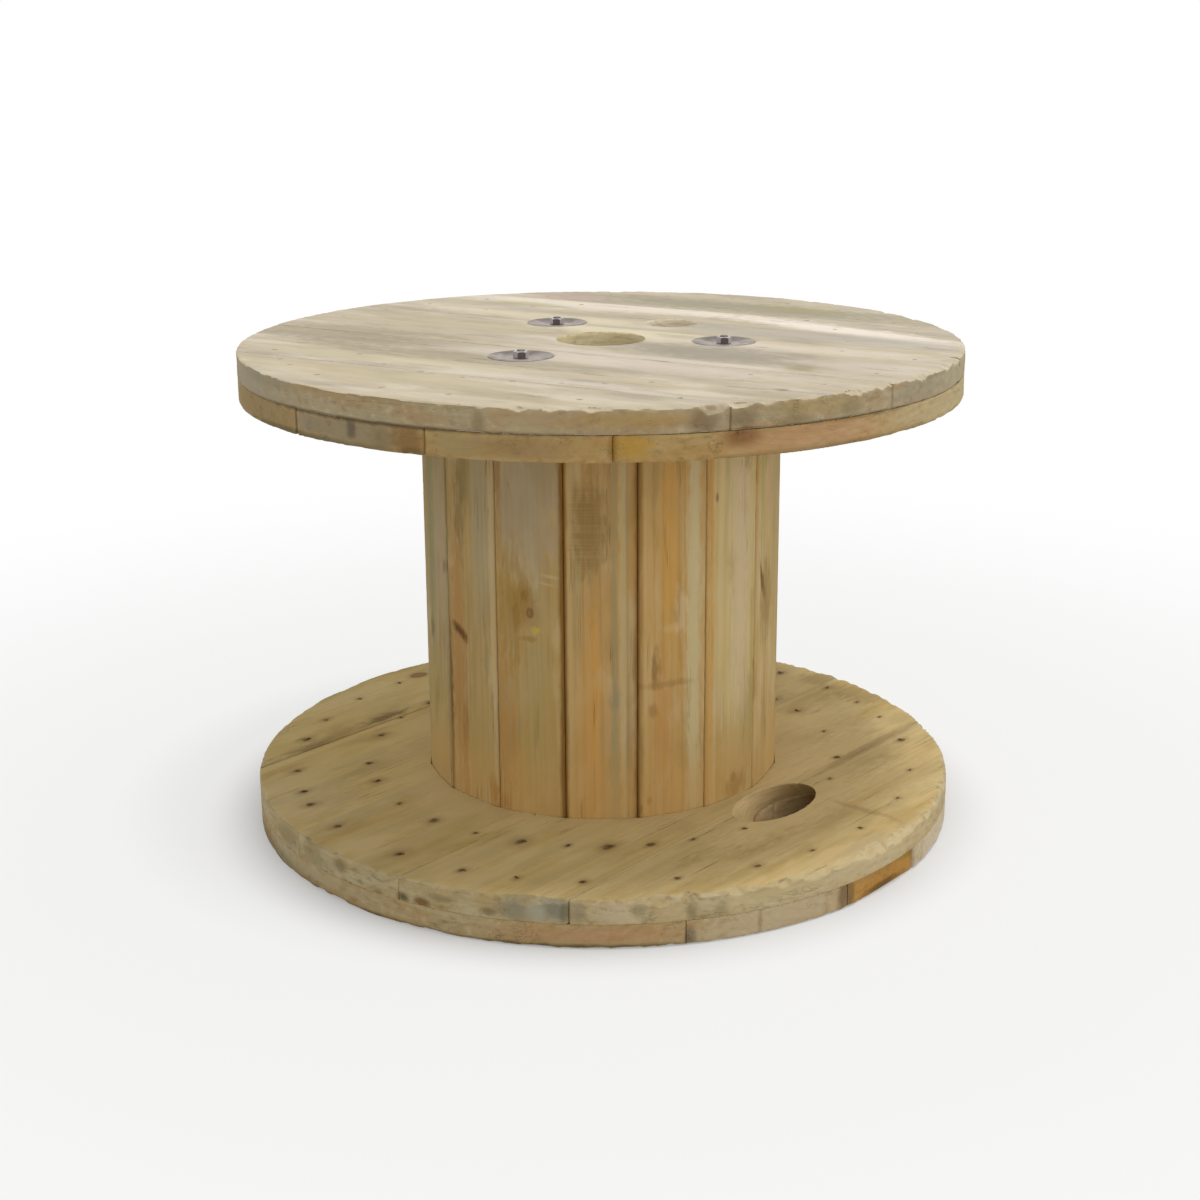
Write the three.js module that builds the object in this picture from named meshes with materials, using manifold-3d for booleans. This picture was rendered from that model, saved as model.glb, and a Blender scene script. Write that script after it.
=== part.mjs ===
// Wooden cable drum, standing on one flange: two flanges of crossed and nailed boards, a barrel of
// staves let into a groove in each flange, and three tie bolts through the hollow of the barrel.
// Millimetres and degrees, +Z up, the drum's axis on Z and its underside at z = 0.
// Plan angles run anticlockwise from +X, seen from above.

import * as THREE from 'three';
import { mergeVertices } from 'three/addons/utils/BufferGeometryUtils.js';
import Module from 'manifold-3d';

const wasm = await Module();
wasm.setup();

// ---- Driving dimensions -------------------------------------------------------------------------

const SEAT_GAP = 0.3; // between two pieces that rest on each other

const FLANGE_DIAMETER = 710;
const BOARD_THICKNESS = 23; // a flange is two layers of these boards
const BOARD_SEAM = 0.8; // between neighbouring boards of one layer
const WINDING_WIDTH = 388; // between the inner faces of the flanges

// Each layer: the plan angle of its grain, and its seams' distances from the axis, measured to the
// left of the grain. The outer layer of the lower flange has one board cut square, short of the rim.
const LOWER_OUTER = { name: 'lower_outer_board', grain: -41, seams: [-214, -62, 46, 190] };
const LOWER_INNER = { name: 'lower_inner_board', grain: 49, seams: [-208, -61, 81, 235] };
const UPPER_INNER = { name: 'upper_inner_board', grain: 59, seams: [-190, -40, 108, 255] };
const UPPER_OUTER = { name: 'upper_outer_board', grain: -31, seams: [-235, -85, 65, 215] };
const SQUARE_CUT_BOARD = 3; // counted from the right of the grain
const SQUARE_CUT_SHORTFALL = 5;

const STAVE_COUNT = 16;
const BARREL_DIAMETER = 357; // over the crowns of the staves
const STAVE_THICKNESS = 22; // at the middle of a stave
const STAVE_CROWN = 1.5; // rise of a stave's rounded outer face over its edges
const STAVE_BEVEL = 2; // worn corner along each outer edge
const STAVE_SEAM = 0.4;
const WIDE_STAVE_SEAMS = { 1: 3.6, 2: 1.8, 15: 1.2 }; // shrunken staves: seam number and its width
const FIRST_SEAM_ANGLE = -124.2;
const GROOVE_DEPTH = 8;
const GROOVE_CLEARANCE = 0.5;

const SPINDLE_BORE_DIAMETER = 88;
const DRIVE_HOLE_DIAMETER = 54;
const DRIVE_HOLE_RADIUS = 125; // from the axis
const DRIVE_HOLE_ANGLE = 54;

// The cable's inner end leaves through a slanted hole in the lower flange, beside the barrel.
const CABLE_HOLE_DIAMETER = 60;
const CABLE_HOLE_RADIUS = 219; // from the axis, where it opens between the flanges
const CABLE_HOLE_ANGLE = -40.4;
const CABLE_HOLE_SLOPE = 32.4; // its axis against the face of the flange

const TIE_BOLT_COUNT = 3;
const TIE_BOLT_DIAMETER = 8;
const TIE_BOLT_RADIUS = 122; // from the axis
const FIRST_BOLT_ANGLE = -8;
const TIE_BOLT_CLEARANCE = 1.5; // round the bolt in the wood
const BOLT_HEAD_DIAMETER = 22;
const BOLT_HEAD_HEIGHT = 4.5;
const BOLT_END_PROUD = 1; // past the nut
const NUT_ACROSS_FLATS = 13;
const NUT_HEIGHT = 6.5;
const NUT_CHAMFER = 0.9;
const NUT_TURNS = [2, -4, 9]; // how far each nut's flat is turned from facing -Y

const WASHER_DIAMETER = 62;
const WASHER_HOLE_CLEARANCE = 0.5; // round the bolt
const WASHER_THICKNESS = 2.5;
const WASHER_DISH = 2.5; // its middle lies this much deeper than its rim
const WASHER_SEAT_DIAMETER = 26; // flat middle, under the nut or the head
const WASHER_RIM_WIDTH = 5;
const UPPER_WASHER_SINK = 0.3; // rim below the wood
const LOWER_WASHER_SINK = 3; // deeper, so that the bolt heads clear the ground

// Segments round a full circle, and across a crown
const RIM_SEGMENTS = 128;
const GROOVE_SEGMENTS = 96;
const BORE_SEGMENTS = 40;
const WASHER_SEGMENTS = 32;
const BOLT_SEGMENTS = 24;
const CROWN_SEGMENTS = 6; // across one stave's crown

// ---- Worked out from the driving dimensions -------------------------------------------------------

const FLANGE_THICKNESS = 2 * BOARD_THICKNESS + SEAT_GAP;
const UPPER_FLANGE_BOTTOM = FLANGE_THICKNESS + WINDING_WIDTH;
const TOP_FACE = UPPER_FLANGE_BOTTOM + FLANGE_THICKNESS;
const RIM_RADIUS = FLANGE_DIAMETER / 2;
const CUTTER_REACH = FLANGE_DIAMETER; // longer than anything it cuts

const STAVE_PITCH = 360 / STAVE_COUNT;
const BARREL_RADIUS = BARREL_DIAMETER / 2;
const STAVE_EDGE_X = BARREL_RADIUS - STAVE_CROWN; // where a stave's crown meets its bevels
const STAVE_BACK_X = BARREL_RADIUS - STAVE_THICKNESS;
const STAVE_HALF_WIDTH = STAVE_EDGE_X * Math.tan(radians(STAVE_PITCH / 2));
const BARREL_CORNER_RADIUS = Math.hypot(STAVE_EDGE_X, STAVE_HALF_WIDTH - STAVE_BEVEL);
const GROOVE_OUTER_RADIUS = Math.max(BARREL_CORNER_RADIUS, BARREL_RADIUS) + GROOVE_CLEARANCE;
const GROOVE_INNER_RADIUS = STAVE_BACK_X - GROOVE_CLEARANCE;
const STAVE_SINK = GROOVE_DEPTH - SEAT_GAP; // how far a stave's end reaches into its groove

const UPPER_DISH_DEPTH = UPPER_WASHER_SINK + WASHER_DISH;
const LOWER_DISH_DEPTH = LOWER_WASHER_SINK + WASHER_DISH;

// ---- Materials ------------------------------------------------------------------------------------

const weatheredPine = wood('#c4b896');
const stainedPine = wood('#b39a6a');
const barrelPine = wood('#c79f62');
const zincSteel = new THREE.MeshStandardMaterial({ color: '#a7a4a6', roughness: 0.35, metalness: 1 });
const darkSteel = new THREE.MeshStandardMaterial({ color: '#6d6764', roughness: 0.45, metalness: 1 });

function wood(color) {
  return new THREE.MeshStandardMaterial({ color, roughness: 0.85, metalness: 0 });
}

// ---- Small tools ----------------------------------------------------------------------------------

function radians(degrees) {
  return THREE.MathUtils.degToRad(degrees);
}

function polar(radius, angle) {
  return [radius * Math.cos(radians(angle)), radius * Math.sin(radians(angle))];
}

/** The solid of a closed three.js geometry, for cutting. */
function solidOf(geometry) {
  const bare = new THREE.BufferGeometry();
  bare.setAttribute('position', geometry.getAttribute('position'));
  bare.setIndex(geometry.getIndex());
  const welded = mergeVertices(bare);
  const corners = welded.getIndex().array;
  const triangles = [];
  for (let i = 0; i < corners.length; i += 3) {
    const [a, b, c] = [corners[i], corners[i + 1], corners[i + 2]];
    if (a !== b && b !== c && c !== a) triangles.push(a, b, c);
  }
  return new wasm.Manifold(new wasm.Mesh({
    numProp: 3,
    vertProperties: new Float32Array(welded.getAttribute('position').array),
    triVerts: new Uint32Array(triangles),
  }));
}

/** A three.js geometry with the faces of a solid. */
function geometryOf(solid) {
  const { vertProperties, triVerts } = solid.getMesh();
  const geometry = new THREE.BufferGeometry();
  geometry.setAttribute('position', new THREE.BufferAttribute(vertProperties, 3));
  geometry.setIndex(new THREE.BufferAttribute(triVerts, 1));
  geometry.computeVertexNormals();
  return geometry;
}

function named(name, geometry, material) {
  const mesh = new THREE.Mesh(geometry, material);
  mesh.name = name;
  return mesh;
}

/** A profile of [radius, height] points turned round Z, listed from the bottom up its outside. */
function turned(profile, segments) {
  const points = profile.map(([radius, height]) => new THREE.Vector2(radius, height));
  return new THREE.LatheGeometry(points, segments).rotateX(Math.PI / 2);
}

/** An upright cylinder between two heights. */
function upright(radius, bottom, top, segments) {
  return new THREE.CylinderGeometry(radius, radius, top - bottom, segments)
    .rotateX(Math.PI / 2)
    .translate(0, 0, (bottom + top) / 2);
}

// ---- Flanges --------------------------------------------------------------------------------------

/** The cutters of a flange, in its own frame, with its inner face up at z = FLANGE_THICKNESS. */
function throughHoles() {
  const depth = [-BOARD_THICKNESS, FLANGE_THICKNESS + BOARD_THICKNESS];
  const bore = upright(SPINDLE_BORE_DIAMETER / 2, ...depth, BORE_SEGMENTS);
  const driveHole = upright(DRIVE_HOLE_DIAMETER / 2, ...depth, BORE_SEGMENTS)
    .translate(...polar(DRIVE_HOLE_RADIUS, DRIVE_HOLE_ANGLE), 0);
  const boltHole = upright(TIE_BOLT_DIAMETER / 2 + TIE_BOLT_CLEARANCE, ...depth, BOLT_SEGMENTS);
  return [bore, driveHole, ...atBolts(boltHole)].map(solidOf);
}

/** The ring groove that takes the ends of the staves, below a face at z = 0. */
function groove() {
  return solidOf(turned([
    [GROOVE_INNER_RADIUS, -GROOVE_DEPTH],
    [GROOVE_OUTER_RADIUS, -GROOVE_DEPTH],
    [GROOVE_OUTER_RADIUS, GROOVE_DEPTH],
    [GROOVE_INNER_RADIUS, GROOVE_DEPTH],
    [GROOVE_INNER_RADIUS, -GROOVE_DEPTH],
  ], GROOVE_SEGMENTS));
}

/** The recess that takes a dished washer, below a face at z = 0. */
function washerRecess(sink) {
  const rimDepth = sink + WASHER_THICKNESS + SEAT_GAP;
  const rimRadius = WASHER_DIAMETER / 2 + SEAT_GAP;
  return turned([
    [0, -rimDepth - WASHER_DISH],
    [WASHER_SEAT_DIAMETER / 2 + SEAT_GAP, -rimDepth - WASHER_DISH],
    [WASHER_DIAMETER / 2 - WASHER_RIM_WIDTH + SEAT_GAP, -rimDepth],
    [rimRadius, -rimDepth],
    [rimRadius, rimDepth],
    [0, rimDepth],
  ], WASHER_SEGMENTS);
}

/** The slanted drilling for the cable, through the lower flange. */
function cableHole() {
  const drilling = new THREE.CylinderGeometry(
    CABLE_HOLE_DIAMETER / 2, CABLE_HOLE_DIAMETER / 2, CUTTER_REACH, BORE_SEGMENTS);
  const alongX = new THREE.Matrix4().makeRotationZ(Math.PI / 2);
  const downhill = new THREE.Matrix4().makeRotationY(radians(CABLE_HOLE_SLOPE));
  const tangent = new THREE.Matrix4().makeRotationZ(radians(CABLE_HOLE_ANGLE + 90));
  drilling.applyMatrix4(alongX).applyMatrix4(downhill).applyMatrix4(tangent);
  drilling.translate(...polar(CABLE_HOLE_RADIUS, CABLE_HOLE_ANGLE), FLANGE_THICKNESS);
  return solidOf(drilling);
}

/** One copy of a geometry at each tie bolt. */
function atBolts(geometry) {
  return boltAngles().map((angle) => geometry.clone().translate(...polar(TIE_BOLT_RADIUS, angle), 0));
}

function boltAngles() {
  return Array.from({ length: TIE_BOLT_COUNT }, (_, i) => FIRST_BOLT_ANGLE + (i * 360) / TIE_BOLT_COUNT);
}

/** A strip along X between two distances from the axis, turned to the grain. */
function strip(layer, bottom, right, left, end) {
  const box = new THREE.BoxGeometry(CUTTER_REACH + end, left - right, BOARD_THICKNESS);
  box.translate((end - CUTTER_REACH) / 2, (left + right) / 2, bottom + BOARD_THICKNESS / 2);
  return solidOf(box.rotateZ(radians(layer.grain)));
}

/** The boards of one layer: strips of the round flange, less what is cut from the layer. */
function layerOfBoards(layer, bottom, cutters, squareCutBoard = 0) {
  const disc = solidOf(upright(RIM_RADIUS, bottom, bottom + BOARD_THICKNESS, RIM_SEGMENTS));
  const blank = cutters.reduce((rest, cutter) => rest.subtract(cutter), disc);
  const seams = [-CUTTER_REACH, ...layer.seams, CUTTER_REACH];
  return seams.slice(1).map((left, i) => {
    const end = i + 1 === squareCutBoard ? RIM_RADIUS - SQUARE_CUT_SHORTFALL : CUTTER_REACH;
    const board = blank.intersect(
      strip(layer, bottom, seams[i] + BOARD_SEAM / 2, left - BOARD_SEAM / 2, end));
    return named(`${layer.name}_${i + 1}`, geometryOf(board), layer.material);
  });
}

function lowerFlange() {
  const flange = new THREE.Group();
  const holes = [...throughHoles(), cableHole()];
  const recesses = atBolts(washerRecess(LOWER_WASHER_SINK).rotateX(Math.PI)).map(solidOf);
  const ring = groove().translate([0, 0, FLANGE_THICKNESS]);
  flange.add(...layerOfBoards({ ...LOWER_OUTER, material: weatheredPine }, 0,
    [...holes, ...recesses], SQUARE_CUT_BOARD));
  flange.add(...layerOfBoards({ ...LOWER_INNER, material: stainedPine },
    BOARD_THICKNESS + SEAT_GAP, [...holes, ring]));
  return flange;
}

function upperFlange() {
  const flange = new THREE.Group();
  const holes = throughHoles();
  const recesses = atBolts(washerRecess(UPPER_WASHER_SINK).translate(0, 0, FLANGE_THICKNESS))
    .map(solidOf);
  flange.add(...layerOfBoards({ ...UPPER_INNER, material: stainedPine }, 0, [...holes, groove()]));
  flange.add(...layerOfBoards({ ...UPPER_OUTER, material: weatheredPine },
    BOARD_THICKNESS + SEAT_GAP, [...holes, ...recesses]));
  flange.position.z = UPPER_FLANGE_BOTTOM;
  return flange;
}

// ---- Barrel ---------------------------------------------------------------------------------------

function seamWidth(seam) {
  return WIDE_STAVE_SEAMS[seam % STAVE_COUNT] ?? STAVE_SEAM;
}

/** A stave's section, its outer face towards +X, its sides on the barrel's radii. */
function staveSection(rightSeam, leftSeam) {
  const slope = Math.tan(radians(STAVE_PITCH / 2));
  const side = (x, seam) => x * slope - seam / 2 / Math.cos(radians(STAVE_PITCH / 2));
  const shoulder = STAVE_EDGE_X - STAVE_BEVEL;
  const crownHalfWidth = STAVE_HALF_WIDTH - STAVE_BEVEL - Math.max(rightSeam, leftSeam) / 2;
  const crownRadius = (crownHalfWidth ** 2 + STAVE_CROWN ** 2) / (2 * STAVE_CROWN);
  const crownSweep = Math.asin(crownHalfWidth / crownRadius);
  const section = new THREE.Shape();
  section.moveTo(STAVE_BACK_X, -side(STAVE_BACK_X, rightSeam));
  section.lineTo(shoulder, -side(shoulder, rightSeam));
  section.absarc(BARREL_RADIUS - crownRadius, 0, crownRadius, -crownSweep, crownSweep, false);
  section.lineTo(shoulder, side(shoulder, leftSeam));
  section.lineTo(STAVE_BACK_X, side(STAVE_BACK_X, leftSeam));
  return section;
}

function barrel() {
  const staves = new THREE.Group();
  const length = WINDING_WIDTH + 2 * STAVE_SINK;
  for (let i = 1; i <= STAVE_COUNT; i += 1) {
    const section = staveSection(seamWidth(i - 1), seamWidth(i));
    const geometry = new THREE.ExtrudeGeometry(
      section, { depth: length, bevelEnabled: false, curveSegments: CROWN_SEGMENTS / 2 });
    const stave = named(`stave_${i}`, geometry, barrelPine);
    stave.rotation.z = radians(FIRST_SEAM_ANGLE + (i - 0.5) * STAVE_PITCH);
    staves.add(stave);
  }
  staves.position.z = FLANGE_THICKNESS - STAVE_SINK;
  return staves;
}

// ---- Tie bolts ------------------------------------------------------------------------------------

/** A dished washer, the top of its rim at z = 0 and its middle sunk below that. */
function washer(name) {
  const hole = TIE_BOLT_DIAMETER / 2 + WASHER_HOLE_CLEARANCE;
  const seat = WASHER_SEAT_DIAMETER / 2;
  const dishEdge = WASHER_DIAMETER / 2 - WASHER_RIM_WIDTH;
  const under = -WASHER_THICKNESS;
  return named(name, turned([
    [hole, under - WASHER_DISH],
    [seat, under - WASHER_DISH],
    [dishEdge, under],
    [WASHER_DIAMETER / 2, under],
    [WASHER_DIAMETER / 2, 0],
    [dishEdge, 0],
    [seat, -WASHER_DISH],
    [hole, -WASHER_DISH],
    [hole, under - WASHER_DISH],
  ], WASHER_SEGMENTS), zincSteel);
}

/** A round-headed bolt, its head's seat at z = 0 and its shank running up. */
function tieBolt(name, length) {
  const shank = TIE_BOLT_DIAMETER / 2;
  const head = BOLT_HEAD_DIAMETER / 2;
  const dome = Array.from({ length: 5 }, (_, i) => {
    const angle = radians(90 - (i * 90) / 4);
    return [head * Math.cos(angle), -BOLT_HEAD_HEIGHT * Math.sin(angle)];
  });
  dome[0][0] = 0;
  return named(name, turned([
    ...dome,
    [shank, 0],
    [shank, length - BOLT_END_PROUD],
    [shank - BOLT_END_PROUD, length],
    [0, length],
  ], BOLT_SEGMENTS), darkSteel);
}

/** A hexagon nut with turned-off corners on top, standing on z = 0 with a flat facing -Y. */
function nut(name) {
  const corner = NUT_ACROSS_FLATS / 2 / Math.cos(Math.PI / 6);
  const outline = new THREE.Shape(
    Array.from({ length: 6 }, (_, i) => new THREE.Vector2(...polar(corner, i * 60))));
  const hexagon = solidOf(new THREE.ExtrudeGeometry(outline, { depth: NUT_HEIGHT, bevelEnabled: false }));
  const turnedBlank = solidOf(turned([
    [0, 0],
    [corner, 0],
    [corner, NUT_HEIGHT - NUT_CHAMFER / 2],
    [corner - NUT_CHAMFER, NUT_HEIGHT],
    [0, NUT_HEIGHT],
  ], BORE_SEGMENTS));
  const hole = solidOf(upright(
    TIE_BOLT_DIAMETER / 2 + SEAT_GAP, -NUT_HEIGHT, 2 * NUT_HEIGHT, BOLT_SEGMENTS));
  return named(name, geometryOf(hexagon.intersect(turnedBlank).subtract(hole)), darkSteel);
}

/** One tie bolt with its washers and nut, on the axis of its own group. */
function boltSet(number, angle) {
  const set = new THREE.Group();
  const [x, y] = polar(TIE_BOLT_RADIUS, angle);
  set.position.set(x, y, 0);

  const lowerWasher = washer(`lower_washer_${number}`);
  lowerWasher.rotation.x = Math.PI;
  lowerWasher.position.z = LOWER_WASHER_SINK;
  const upperWasher = washer(`upper_washer_${number}`);
  upperWasher.position.z = TOP_FACE - UPPER_WASHER_SINK;

  const hexNut = nut(`nut_${number}`);
  hexNut.position.z = TOP_FACE - UPPER_DISH_DEPTH + SEAT_GAP;
  hexNut.rotation.z = radians(NUT_TURNS[(number - 1) % NUT_TURNS.length]);

  const headSeat = LOWER_DISH_DEPTH - SEAT_GAP;
  const boltEnd = hexNut.position.z + NUT_HEIGHT + BOLT_END_PROUD;
  const bolt = tieBolt(`tie_bolt_${number}`, boltEnd - headSeat);
  bolt.position.z = headSeat;

  set.add(bolt, lowerWasher, upperWasher, hexNut);
  return set;
}

// ---- The drum -------------------------------------------------------------------------------------

const drum = new THREE.Group();
drum.add(lowerFlange(), barrel(), upperFlange());
boltAngles().forEach((angle, i) => drum.add(boltSet(i + 1, angle)));

export default drum;
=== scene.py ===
"""Looks of the wooden cable drum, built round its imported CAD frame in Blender.

Every board and stave is carved from a copy of its CAD solid, so it stays where the frame has it and
only loses what wear takes off. Shapes are in millimetres until a mesh is stored, angles in degrees.
A board's own frame has X along its grain, Y to the left of the grain and Z up. A stave's own frame
has X up, Y to the right as seen from outside the barrel and Z towards the barrel's axis.
"""

import itertools
import math
from typing import NamedTuple

import bmesh
import bpy
import numpy as np
from mathutils import Matrix, Vector


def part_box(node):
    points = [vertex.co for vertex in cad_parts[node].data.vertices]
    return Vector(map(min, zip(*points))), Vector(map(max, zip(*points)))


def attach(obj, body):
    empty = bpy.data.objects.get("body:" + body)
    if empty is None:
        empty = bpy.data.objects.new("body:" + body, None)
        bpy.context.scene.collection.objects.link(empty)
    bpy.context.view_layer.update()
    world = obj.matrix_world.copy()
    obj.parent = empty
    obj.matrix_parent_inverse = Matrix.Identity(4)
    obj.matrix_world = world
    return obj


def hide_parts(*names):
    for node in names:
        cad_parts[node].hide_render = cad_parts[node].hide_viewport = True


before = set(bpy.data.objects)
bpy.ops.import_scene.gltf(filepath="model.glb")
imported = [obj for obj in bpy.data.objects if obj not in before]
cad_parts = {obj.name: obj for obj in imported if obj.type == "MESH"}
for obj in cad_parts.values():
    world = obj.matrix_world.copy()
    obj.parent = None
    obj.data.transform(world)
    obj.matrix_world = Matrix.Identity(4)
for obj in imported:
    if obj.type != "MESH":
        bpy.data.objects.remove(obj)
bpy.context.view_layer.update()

MM = 0.001

# ---- The drum, as its source has it -------------------------------------------------------------

RIM_RADIUS = 355
BOARD_THICKNESS = 23
BARREL_RADIUS = 178.5
BARREL_MIDDLE = 240.3
STAVE_THICKNESS = 22
STAVE_CROWN = 1.5
STAVE_COUNT = 16
STAVE_PITCH = 360 / STAVE_COUNT
FIRST_SEAM_ANGLE = -124.2
GROOVE_RADIUS = 180.6
GROOVE_DEPTH = 8
BOLT_RADIUS = 122
BOLT_ANGLES = (-8, 112, 232)
WASHER_RADIUS = 31
WASHER_THICKNESS = 2.5
WASHER_DISH = 2.5
WASHER_SEAT_RADIUS = 13
WASHER_RIM_WIDTH = 5
SHANK_RADIUS = 4
HEAD_RADIUS = 11
HEAD_HEIGHT = 4.5
NUT_ACROSS_FLATS = 13
NUT_HEIGHT = 6.5
NUT_TURNS = (2, -4, 9)

# Each layer: the plan angle of its grain, the height of its middle, and its seams' distances from
# the axis, measured to the left of the grain.
LAYERS = {
    "lower_outer_board": {"grain": -41, "middle": 11.5, "seams": (-214, -62, 46, 190)},
    "lower_inner_board": {"grain": 49, "middle": 34.8, "seams": (-208, -61, 81, 235)},
    "upper_inner_board": {"grain": 59, "middle": 445.8, "seams": (-190, -40, 108, 255)},
    "upper_outer_board": {"grain": -31, "middle": 469.1, "seams": (-235, -85, 65, 215)},
}


def polar(radius, angle):
    """The plan point at a radius and a plan angle."""
    return radius * math.cos(math.radians(angle)), radius * math.sin(math.radians(angle))


def place(origin, x_axis, y_axis):
    """The matrix of a frame in millimetres, from its origin and two of its axes."""
    x_axis, y_axis = Vector(x_axis), Vector(y_axis)
    turn = Matrix((x_axis, y_axis, x_axis.cross(y_axis))).transposed()
    return Matrix.Translation(origin) @ turn.to_4x4()


def board_place(layer):
    grain = LAYERS[layer]["grain"]
    return place(
        (0, 0, LAYERS[layer]["middle"]), (*polar(1, grain), 0), (*polar(1, grain + 90), 0)
    )


def stave_place(number):
    angle = FIRST_SEAM_ANGLE + (number - 0.5) * STAVE_PITCH
    x, y = polar(BARREL_RADIUS - STAVE_THICKNESS / 2, angle)
    return place((x, y, BARREL_MIDDLE), (0, 0, 1), (*polar(1, angle + 90), 0))


# ---- Noise for wear -----------------------------------------------------------------------------


def scatter(cells, seed):
    """A number from -1 to 1 for each whole-numbered cell."""
    x, y, z = (cells[:, axis].astype(np.int64) for axis in range(3))
    mixed = (x * 73856093) ^ (y * 19349663) ^ (z * 83492791) ^ (seed * 2654435761)
    mixed = ((mixed & 0xFFFFFFFF) * 1103515245 + 12345) & 0xFFFFFFFF
    mixed = ((mixed ^ (mixed >> 15)) * 2246822519) & 0xFFFFFFFF
    return (mixed >> 8) / float(1 << 23) - 1


def noise(points, spacing, seed):
    """Smooth noise from -1 to 1, its lattice this far apart along X, Y and Z."""
    scaled = points / np.asarray(spacing, float)
    cells = np.floor(scaled)
    part = scaled - cells
    part = part * part * (3 - 2 * part)
    total = np.zeros(len(points))
    for corner in itertools.product((0, 1), repeat=3):
        weight = np.prod(np.where(corner, part, 1 - part), axis=1)
        total += weight * scatter(cells + corner, seed)
    return total


def unit_noise(points, spacing, seed):
    """The same noise, from 0 to 1."""
    return noise(points, spacing, seed) * 0.5 + 0.5


def ramp(value, start, reach):
    """Rises from 0 where value is start to 1 a reach further on, and stays there."""
    return np.clip((value - start) / reach, 0, 1)


# ---- Wear ---------------------------------------------------------------------------------------

FLAT = 10000  # a noise spacing that is as good as no change
SEAM = 0.15  # between neighbouring boards
SEAM_DEPTH = 4.5  # how deep the seams between staves are open
SEAM_SLIT = 0.1  # and how wide they are behind that
WIDEST_SEAM = 3.6
SNAP = 1  # how near its true face a remeshed point has to be to go back on it
TOP = BOARD_THICKNESS / 2  # a board's upper face in its own frame
GROOVE_GAP = 0.1  # left between a stave and the wall of its groove
RECESS = 0.5  # of a board's rim, where RIM_RECESS has no other
STAVE_EDGE = 26  # the worn edges of a stave start this far from its middle
EDGE_WEAR, EDGE_NICKS = 0.25, 0.6  # how deep they go
DENT_DEPTH, DENT_WIDTH = 0.7, 5  # under a washer's rim
WAVE_SEED, NICK_SEED = 900, 950  # a stave's number is added to them


class Chip(NamedTuple):
    """A piece that has broken off a board's rim: plan angle, half length, depth in and down."""

    angle: float
    half_length: float
    depth: float
    down: float


# Chips out of the upper arris of the rim
CHIPS = {
    "upper_outer_board_1": (Chip(-75, 13, 7, 13), Chip(-101, 9, 5, 5)),
    "upper_outer_board_2": (Chip(-67, 8, 5, 5), Chip(-52, 9, 6, 7)),
    "upper_outer_board_3": (Chip(-37, 12, 7, 7), Chip(-22, 8, 7, 6)),
    "lower_inner_board_1": (Chip(13.5, 9, 9, 40), Chip(-28, 20, 6, 7), Chip(-52, 14, 6, 8)),
    "lower_inner_board_2": (Chip(38.6, 8, 9, 40), Chip(-99, 16, 7, 8), Chip(-87, 9, 5, 10)),
    "lower_inner_board_3": (Chip(-120, 14, 7, 9), Chip(-134, 10, 5, 8)),
    "lower_inner_board_4": (Chip(-161, 12, 5, 6),),
}

# How far the rims of some boards are set back
RIM_RECESS = {"upper_inner_board_2": 2.0, "upper_inner_board_3": 1.2}

# How far the broken arrises of each layer's rim reach across and down, at its upper and lower face
ARRISES = {
    "lower_outer_board": ((0.8, 0.6), (6, 4)),
    "lower_inner_board": ((10, 8), (0.8, 0.6)),
    "upper_inner_board": ((2.6, 2), (4, 3)),
    "upper_outer_board": ((10, 5), (2.6, 2)),
}
# The layers whose upper face is seen
FACING = ("lower_inner_board", "upper_outer_board")

# Degrees round from the front to the right between which the rims' arrises are hardly torn
SHELTERED = (-175, -12)
SHELTER = 0.6  # of the wear is spared there


def from_axis(points):
    """How far points of a board's own frame are from the drum's axis."""
    return np.hypot(points[:, 0], points[:, 1])


def plan_angle(points, grain):
    return np.degrees(np.arctan2(points[:, 1], points[:, 0])) + grain


def square_up(points, right, left):
    """Puts back the flat faces and sharp arrises of a board, which remeshing rounds off."""
    points[:, 1] = np.where(points[:, 1] < right + SNAP, right, points[:, 1])
    points[:, 1] = np.where(points[:, 1] > left - SNAP, left, points[:, 1])
    outside = np.abs(points[:, 2]) > TOP - SNAP
    points[:, 2] = np.where(outside, np.sign(points[:, 2]) * TOP, points[:, 2])
    radius = from_axis(points)
    stretch = np.where(radius > RIM_RADIUS - SNAP, RIM_RADIUS / radius, 1)
    points[:, :2] *= stretch[:, None]
    return points


def close_groove(points, side, grain):
    """Fits the outer wall of the groove in a board's face to the staves that stand in it."""
    radius = from_axis(points)
    off_middle = np.radians((plan_angle(points, grain) - FIRST_SEAM_ANGLE) % STAVE_PITCH - STAVE_PITCH / 2)
    from_crown = BARREL_RADIUS * np.tan(off_middle)
    half_width = BARREL_RADIUS * math.tan(math.radians(STAVE_PITCH / 2))
    face = (BARREL_RADIUS - STAVE_CROWN * (from_crown / half_width) ** 2) / np.cos(off_middle)
    near = ramp(radius, GROOVE_RADIUS + 3.5, -3) * (radius > GROOVE_RADIUS - 2.5)
    near *= side * points[:, 2] > TOP - GROOVE_DEPTH - 1
    points[:, :2] *= (1 + near * (face + GROOVE_GAP - GROOVE_RADIUS) / radius)[:, None]
    return points


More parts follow.
